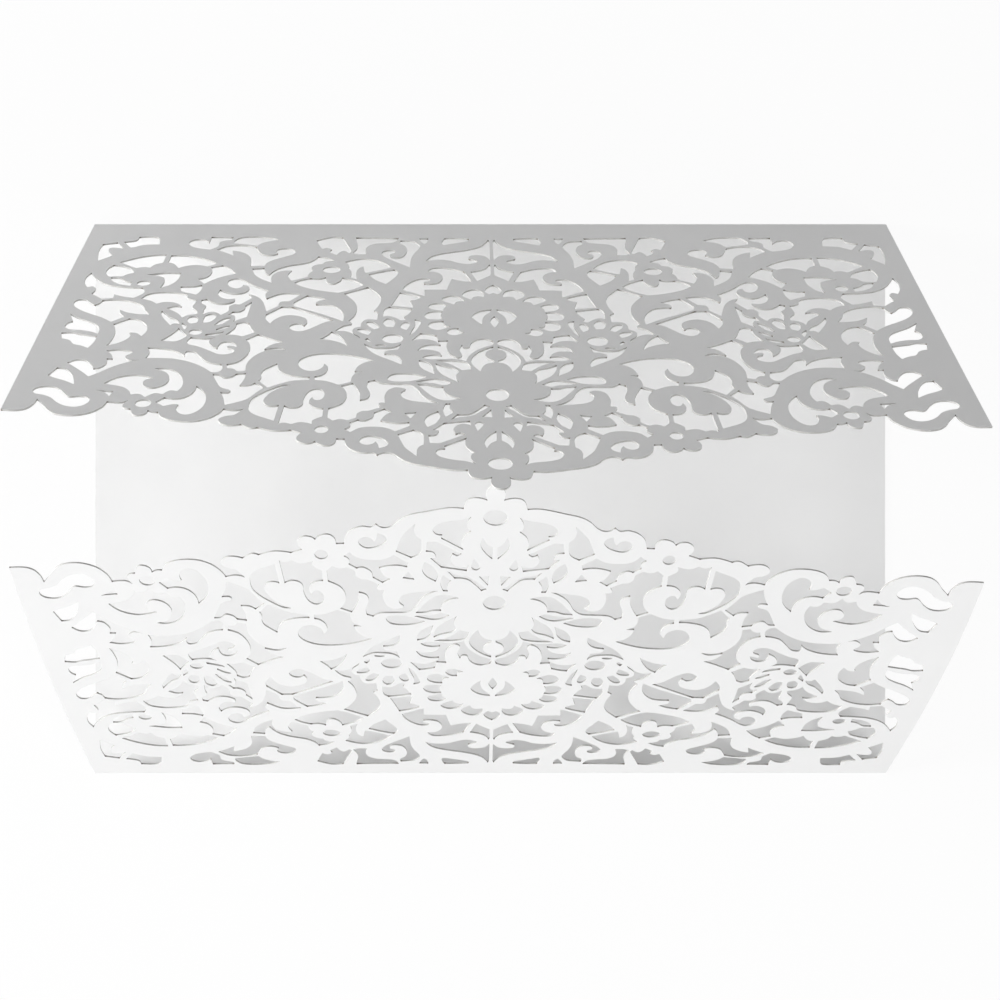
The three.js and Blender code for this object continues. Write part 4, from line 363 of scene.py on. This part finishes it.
    [85.6, 76.4], [87.2, 76.9], [87.8, 78.0], [87.2, 79.2], [85.5, 79.7], [83.8, 80.7],
    [82.4, 82.3], [80.7, 83.5], [78.8, 83.9], [77.2, 83.2]],
  [[72.6, 78.0, 1], [76.0, 77.6, 1], [74.2, 78.5], [73.1, 79.8, 1]],
  [[66.4, 69.1, 1], [64.5, 68.8], [62.6, 69.6], [61, 71.4], [60.1, 74], [60.1, 75.9],
    [60.7, 77.5, 1], [62.2, 77.4], [63.2, 78.8, 1], [64.9, 78.5], [66.4, 80.0, 1], [67.6, 78.8],
    [69.2, 79.1, 1], [69.8, 77.6], [71.4, 76.2], [75, 75.1, 1], [73.7, 73.3], [71.9, 72.1],
    [69.7, 71.6], [67.6, 72.0], [65.8, 72.7, 1], [67.3, 73.4], [67.7, 74.7], [66.8, 76.1],
    [65.2, 76.3], [63.6, 75.2], [62.9, 73.3], [63.4, 71.2], [64.5, 70.0]],
  [[57.3, 75.5, 1], [57.4, 77.0], [58, 78.6], [59.3, 79.9], [61, 80.3], [62.7, 79.9, 1],
    [64.1, 81.7, 1], [62.4, 83.1, 1], [60.8, 82.4], [59.7, 82.4, 1], [59.9, 83.9], [59.2, 85.4],
    [57.8, 86.0], [56.4, 85.3], [55.2, 83.4], [54.8, 81], [55.2, 78.5], [56.1, 76.8]],
]

# Cuts that lie on the centre line: the petal above the sunflower and the drop inside it
centre_cuts = [
  [[0, 31.2, 1], [0.9, 32], [1.6, 33.1], [1.75, 34.4], [0.9, 35.6, 1], [0, 34.9, 1]],
  [[0, 45.5, 1], [0.5, 46.3], [0.9, 47.8], [0.5, 49.2], [0, 50.3, 1]],
]

# Round cuts: centre, half width, half height
round_cuts = [
  [35.2, 24.4, 1.95, 1.6],
  [75.1, 31.7, 1.4, 1.25],
  [20.7, 55.6, 2.1, 1.9],
  [23, 58.4, 1.1, 0.4],
  [60.7, 53.8, 1.35, 1.15],
  [66.3, 82.2, 1.5, 1.4],
  [32.45, 90.3, 1.25, 1.25],
]
centre_round_cuts = [
  [0, 77, 2.2, 2.2],
  [0, 100.5, 2.2, 1.9],
]

# Smooth cutting lines: a curve through the drawn points that breaks only at the sharp corners.
# Each line keeps a mark for its sharp corners, where the cut edge is coloured dark brown.
STEP_LENGTH = 0.45
FEWEST_STEPS, MOST_STEPS = 2, 6
RING_POINTS = 28
lines = []
for kind, mirror, points in (
    [("cut", m, c) for m in (1, -1) for c in fold_row + middle_row + outer_row]
    + [("cut", 1, c + [[-p[0], *p[1:]] for p in reversed(c) if p[0] > 0]) for c in centre_cuts]
    + [("edge", 1, [[-p[0], *p[1:]] for p in reversed(free_edge[1:])] + free_edge)]
):
    xy = np.array([[mirror * p[0], p[1]] for p in points], float)
    sharp = [len(p) > 2 for p in points]
    count = len(points)
    spans = count if kind == "cut" else count - 1
    smooth, corner = [], []
    for i in range(spans):
        j = (i + 1) % count
        start, end = xy[i], xy[j]
        chord = end - start
        length = np.linalg.norm(chord)
        slopes = []
        for k in (i, j):
            loose_end = kind == "edge" and k in (0, count - 1)
            if sharp[k] or loose_end:
                slopes.append(None)
                continue
            slope = (xy[(k + 1) % count] - xy[k - 1]) / 2
            slopes.append(slope * min(1, length / max(1e-9, np.linalg.norm(slope))))
        if slopes[0] is None and slopes[1] is None:
            slopes = [chord, chord]
        elif slopes[0] is None:
            slopes[0] = 1.5 * chord - 0.5 * slopes[1]
        elif slopes[1] is None:
            slopes[1] = 1.5 * chord - 0.5 * slopes[0]
        steps = int(np.clip(round(length / STEP_LENGTH), FEWEST_STEPS, MOST_STEPS))
        for n in range(steps):
            t = n / steps
            smooth.append(
                (2 * t**3 - 3 * t**2 + 1) * start
                + (t**3 - 2 * t**2 + t) * slopes[0]
                + (3 * t**2 - 2 * t**3) * end
                + (t**3 - t**2) * slopes[1]
            )
            corner.append(1.0 if n == 0 and sharp[i] else 0.0)
    if kind == "edge":
        smooth.append(xy[-1])
        corner.append(0.0)
    lines.append((kind, np.array(smooth), corner))
for x, u, half_across, half_along in (
    round_cuts + [[-c[0], *c[1:]] for c in round_cuts] + centre_round_cuts
):
    turn = np.linspace(0, 2 * math.pi, RING_POINTS, endpoint=False)
    ring = np.column_stack((x + half_across * np.cos(turn), u + half_along * np.sin(turn)))
    lines.append(("cut", ring, [0.0] * len(ring)))

# The flat lace of one flap as triangles: its outline, its cuts, and a grid inside so that it bends
# smoothly. The first row of the grid is shared with the fold.
LACE_START = 1.5
COLUMNS = 47
SIDE_POINTS = 29
GRID_START, GRID_END, GRID_PITCH = 4, 108, 2.5
GRID_CLEARANCE = 0.6
CDT_TOLERANCE = 1e-5
grid_x = np.linspace(-HALF_WIDTH, HALF_WIDTH, COLUMNS)
flat, marks, borders = [], [], []
for kind, line, corner in lines:
    if kind == "edge":
        right_corner = line[-1][1]
        side = np.linspace(LACE_START, right_corner, SIDE_POINTS)[1:-1]
        line = np.vstack(
            (
                line,
                [[HALF_WIDTH, u] for u in side[::-1]],
                [[x, LACE_START] for x in grid_x[::-1]],
                [[-HALF_WIDTH, u] for u in side],
            )
        )
        corner = list(corner) + [0.0] * (len(line) - len(corner))
    first = len(flat)
    flat.extend(Vector(p) for p in line)
    marks.extend(corner)
    borders.extend((first + i, first + (i + 1) % len(line)) for i in range(len(line)))
segments = np.array([[*flat[a], *flat[b]] for a, b in borders])


def inside(spots):
    hits = np.zeros(len(spots), int)
    for x1, y1, x2, y2 in segments:
        rises = (y1 > spots[:, 1]) != (y2 > spots[:, 1])
        if rises.any():
            cross = (x2 - x1) * (spots[:, 1] - y1) / (y2 - y1 if y2 != y1 else 1) + x1
            hits += rises & (spots[:, 0] < cross)
    return hits % 2 == 1


grid_u = np.arange(GRID_START, GRID_END, GRID_PITCH)
grid = np.array([[x, u] for u in grid_u for x in grid_x[1:-1]])
grid = grid[inside(grid)]
border_spots = np.array([tuple(p) for p in flat])
far = [np.min(np.hypot(*(border_spots - p).T)) > GRID_CLEARANCE for p in grid]
flat.extend(Vector(p) for p, keep in zip(grid, far) if keep)
marks.extend([0.0] * (len(flat) - len(marks)))
spots, _, faces, source, _, _ = delaunay_2d_cdt(flat, borders, [], 0, CDT_TOLERANCE)
spots = np.array([tuple(p) for p in spots])
faces = np.array(faces)
faces = faces[inside(spots[faces].mean(1))]
turned = np.cross(
    spots[faces[:, 1]] - spots[faces[:, 0]],
    spots[faces[:, 2]] - spots[faces[:, 0]],
)
faces[turned < 0] = faces[turned < 0][:, ::-1]
# Each point of the lace takes the dark brown mark of the sharp corner it comes from.
corner_darkness = np.array([max([marks[i] for i in s], default=0.0) for s in source])
sides = {}
for face in faces:
    for a, b in ((face[0], face[1]), (face[1], face[2]), (face[2], face[0])):
        sides[(a, b)] = True
rims = np.array([e for e in sides if (e[1], e[0]) not in sides])
on_start = np.abs(spots[:, 1] - LACE_START) < 1e-4
rims = rims[~(on_start[rims[:, 0]] & on_start[rims[:, 1]])]

# The bent sheet: both flaps get the flat lace, and rows of card run through the folds and panel.
# Outer is the face that shows from outside, inner the one over the panel. Walls are the cut edges.
vertices, polygons, finish, brown = [], [], [], []
CARD, EDGE = 0, 1
BEND_STEPS = 36
FOLD_ROWS = 13
PANEL_ROWS = 31
PANEL_ROWS_INSET = 4


def angle_at(stance, x, u):
    reach = u / FLAP_LENGTH
    turn = (stance["twist"] + stance["untwist"] * reach) * x / HALF_WIDTH
    return np.radians(stance["angle"] - stance["droop"] * reach**2 + turn)


def bent(side, x, u, depth):
    stance = STANCES[side]
    start = angle_at(stance, x, 0 * u)
    bend = math.pi - start
    inward = OUTER_RADIUS * (1 - np.sin(bend))
    height = OUTER_RADIUS * (1 - np.cos(bend))
    straight = u - OUTER_RADIUS * (bend - math.pi / 2)
    for i in range(BEND_STEPS):
        slope = angle_at(stance, x, u * (i + 0.5) / BEND_STEPS)
        inward = inward + straight / BEND_STEPS * np.cos(slope)
        height = height + straight / BEND_STEPS * np.sin(slope)
    slope = angle_at(stance, x, u)
    inward = inward + depth * np.sin(slope)
    height = height - depth * np.cos(slope)
    leaning = x + stance["lean"] * u / FLAP_LENGTH
    return np.column_stack((leaning, side * (PANEL_HEIGHT / 2 - inward), height))


for side in (1, -1):
    x, u = spots[:, 0], spots[:, 1] - np.where(on_start, 0, STANCES[side]["nearer"])
    base = len(vertices)
    vertices.extend(bent(side, x, u, 0))
    vertices.extend(bent(side, x, u, THICKNESS))
    n = len(spots)
    outer = faces[:, ::-1] if side == 1 else faces
    inner = faces if side == 1 else faces[:, ::-1]
    polygons.extend((outer + base).tolist())
    polygons.extend((inner + base + n).tolist())
    finish.extend([CARD] * (2 * len(faces)))
    brown.extend([0.0] * (6 * len(faces)))
    for a, b in rims:
        wall = (a, b, b + n, a + n) if side == 1 else (b, a, a + n, b + n)
        polygons.append([int(i + base) for i in wall])
        finish.append(EDGE)
        brown.extend(corner_darkness[i % n] for i in wall)

sections = []
for side in (-1, 1):
    stance = STANCES[side]
    start = angle_at(stance, grid_x, 0 * grid_x)
    rows = [[bent(side, grid_x, LACE_START + 0 * grid_x, d) for d in (0, THICKNESS)]]
    for share in np.linspace(1, 0, FOLD_ROWS):
        turn = share * (math.pi - start)
        row = []
        for depth in (0, THICKNESS):
            radius = OUTER_RADIUS - depth
            inward = OUTER_RADIUS - radius * np.sin(turn)
            height = OUTER_RADIUS - radius * np.cos(turn)
            row.append(np.column_stack((grid_x, side * (PANEL_HEIGHT / 2 - inward), height)))
        rows.append(row)
    sections.extend(rows if side == -1 else rows[::-1])
    if side == -1:
        reach = PANEL_HEIGHT / 2 - PANEL_ROWS_INSET
        ones = np.ones(len(grid_x))
        for y in np.linspace(-reach, reach, PANEL_ROWS):
            sections.append(
                [np.column_stack((grid_x, y * ones, z * ones)) for z in (0, THICKNESS)]
            )
columns = len(grid_x)
base = len(vertices)
for outer, inner in sections:
    vertices.extend(outer)
    vertices.extend(inner)
for i in range(len(sections) - 1):
    low = base + 2 * columns * i
    high = low + 2 * columns
    for k in range(columns - 1):
        polygons.append([low + k, high + k, high + k + 1, low + k + 1])
        a, b = low + columns + k, high + columns + k
        polygons.append([a, a + 1, b + 1, b])
        finish.extend([CARD, CARD])
        brown.extend([0.0] * 8)
    for k in (0, columns - 1):
        wall = [low + k, low + columns + k, high + columns + k, high + k]
        polygons.append(wall if k == 0 else wall[::-1])
        finish.append(EDGE)
        brown.extend([0.0] * 4)

# The mesh, in metres: doubled points are joined, and only corners sharper than the limit stay hard.
MILLIMETRE = 0.001
JOIN_DISTANCE = 2e-6
SHARP_ANGLE = 40
mesh = bpy.data.meshes.new("lace_card")
mesh.from_pydata([tuple(MILLIMETRE * float(c) for c in v) for v in vertices], [], polygons)
# The dark brown at the sharp corners goes on the cut walls as a value per corner.
dark_corner_layer = mesh.attributes.new("brown", "FLOAT", "CORNER")
dark_corner_layer.data.foreach_set("value", np.array(brown, np.float32))
mesh.polygons.foreach_set("material_index", finish)
bm = bmesh.new()
bm.from_mesh(mesh)
bmesh.ops.remove_doubles(bm, verts=bm.verts, dist=JOIN_DISTANCE)
bm.to_mesh(mesh)
bm.free()
mesh.polygons.foreach_set("use_smooth", [True] * len(mesh.polygons))
mesh.set_sharp_from_angle(angle=math.radians(SHARP_ANGLE))
card = bpy.data.objects.new("lace_card", mesh)
bpy.context.scene.collection.objects.link(card)

# White card: a matt felt-like sheet with a fine tooth and faint clouding.
paper = bpy.data.materials.new("white_card")
paper.use_nodes = True
nodes, links = paper.node_tree.nodes, paper.node_tree.links
shader = nodes["Principled BSDF"]
shader.inputs["Roughness"].default_value = 0.8
shader.inputs["Specular IOR Level"].default_value = 0.25
place = nodes.new("ShaderNodeTexCoord")
cloud = nodes.new("ShaderNodeTexNoise")
cloud.inputs["Scale"].default_value = 45
cloud.inputs["Detail"].default_value = 3
links.new(place.outputs["Object"], cloud.inputs["Vector"])
tone = nodes.new("ShaderNodeValToRGB")
tone.color_ramp.elements[0].position = 0.3
tone.color_ramp.elements[0].color = (0.845, 0.845, 0.845, 1)
tone.color_ramp.elements[1].position = 0.7
tone.color_ramp.elements[1].color = (0.87, 0.87, 0.868, 1)
links.new(cloud.outputs["Fac"], tone.inputs["Fac"])
links.new(tone.outputs["Color"], shader.inputs["Base Color"])
tooth = nodes.new("ShaderNodeTexNoise")
tooth.inputs["Scale"].default_value = 2600
tooth.inputs["Detail"].default_value = 5
tooth.inputs["Roughness"].default_value = 0.65
links.new(place.outputs["Object"], tooth.inputs["Vector"])
bump = nodes.new("ShaderNodeBump")
bump.inputs["Strength"].default_value = 0.25
bump.inputs["Distance"].default_value = 0.00003
links.new(tooth.outputs["Fac"], bump.inputs["Height"])
links.new(bump.outputs["Normal"], shader.inputs["Normal"])
mesh.materials.append(paper)

# Cut edge: the card's bare core, clearly darker and slightly yellower than its face, with fine
# uneven streaks. The sharp corners of the cuts are coloured dark brown.
cut = bpy.data.materials.new("cut_edge")
cut.use_nodes = True
nodes, links = cut.node_tree.nodes, cut.node_tree.links
shader = nodes["Principled BSDF"]
shader.inputs["Roughness"].default_value = 0.9
shader.inputs["Specular IOR Level"].default_value = 0.15
place = nodes.new("ShaderNodeTexCoord")
streak = nodes.new("ShaderNodeTexNoise")
streak.inputs["Scale"].default_value = 900
streak.inputs["Detail"].default_value = 4
links.new(place.outputs["Object"], streak.inputs["Vector"])
tone = nodes.new("ShaderNodeValToRGB")
tone.color_ramp.elements[0].position = 0.3
tone.color_ramp.elements[0].color = (0.45, 0.445, 0.43, 1)
tone.color_ramp.elements[1].position = 0.75
tone.color_ramp.elements[1].color = (0.6, 0.595, 0.58, 1)
links.new(streak.outputs["Fac"], tone.inputs["Fac"])
mark = nodes.new("ShaderNodeAttribute")
mark.attribute_name = "brown"
# Dark brown is mixed into the cut edge's colour at the sharp corners of the cuts.
corner_darkening = nodes.new("ShaderNodeMix")
corner_darkening.data_type = "RGBA"
corner_darkening.inputs[7].default_value = (0.16, 0.14, 0.115, 1)
links.new(mark.outputs["Fac"], corner_darkening.inputs[0])
links.new(tone.outputs["Color"], corner_darkening.inputs[6])
links.new(corner_darkening.outputs[2], shader.inputs["Base Color"])
mesh.materials.append(cut)

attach(card, "root")
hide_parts("lace_cut_sheet")

# Floor and room: a plain white floor, nearly pure white to the camera so that it keeps the card's
# faint shadow, in a pale room that is pure white to the camera.
FLOOR_SIZE = 6
FLOOR_DROP = 0.00002
bpy.ops.mesh.primitive_plane_add(size=FLOOR_SIZE, location=(0, 0, -FLOOR_DROP))
floor = bpy.context.object
floor.name = "floor"
white = bpy.data.materials.new("white_floor")
white.use_nodes = True
shader = white.node_tree.nodes["Principled BSDF"]
shader.inputs["Base Color"].default_value = (0.86, 0.86, 0.86, 1)
shader.inputs["Roughness"].default_value = 0.9
floor.data.materials.append(white)
floor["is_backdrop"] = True
room = bpy.data.worlds.new("room")
bpy.context.scene.world = room
room.use_nodes = True
air = room.node_tree.nodes["Background"]
air.inputs["Color"].default_value = (1, 1, 1, 1)
air.inputs["Strength"].default_value = 0.33
for tree, surface, end, white_share in (
    (white.node_tree, shader.outputs[0], "Material Output", 0.92),
    (room.node_tree, air.outputs[0], "World Output", 1.0),
):
    nodes, links = tree.nodes, tree.links
    rays = nodes.new("ShaderNodeLightPath")
    seen = rays.outputs["Is Camera Ray"]
    for ray in ("Is Glossy Ray", "Is Transmission Ray"):
        either = nodes.new("ShaderNodeMath")
        either.operation = "MAXIMUM"
        links.new(seen, either.inputs[0])
        links.new(rays.outputs[ray], either.inputs[1])
        seen = either.outputs[0]
    share = nodes.new("ShaderNodeMath")
    share.operation = "MULTIPLY"
    share.inputs[1].default_value = white_share
    links.new(seen, share.inputs[0])
    is_floor = end == "Material Output"
    pure = nodes.new("ShaderNodeEmission" if is_floor else "ShaderNodeBackground")
    pure.inputs["Color"].default_value = (1, 1, 1, 1)
    both = nodes.new("ShaderNodeMixShader")
    links.new(share.outputs[0], both.inputs[0])
    links.new(surface, both.inputs[1])
    links.new(pure.outputs[0], both.inputs[2])
    links.new(both.outputs[0], nodes[end].inputs["Surface"])

# Soft studio light: a strong low lamp at the open left end of the card, and two weaker ones in
# front, to either side.
LAMP_SIZE = 0.45
LAMP_AIM = Vector((0, 0, 0.04))
for name, place, power in (
    ("left_lamp", (-1.076, 0, 0.269), 18.5),
    ("front_left_lamp", (-0.674, -0.674, 0.59), 2.55),
    ("front_right_lamp", (0.674, -0.674, 0.59), 3.9),
):
    lamp_data = bpy.data.lights.new(name, "AREA")
    lamp_data.size = LAMP_SIZE
    lamp_data.energy = power
    lamp = bpy.data.objects.new(name, lamp_data)
    lamp.location = place
    lamp.rotation_mode = "QUATERNION"
    lamp.rotation_quaternion = (LAMP_AIM - lamp.location).to_track_quat("-Z", "Y")
    bpy.context.scene.collection.objects.link(lamp)

bpy.context.scene.view_settings.view_transform = "Standard"

low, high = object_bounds()
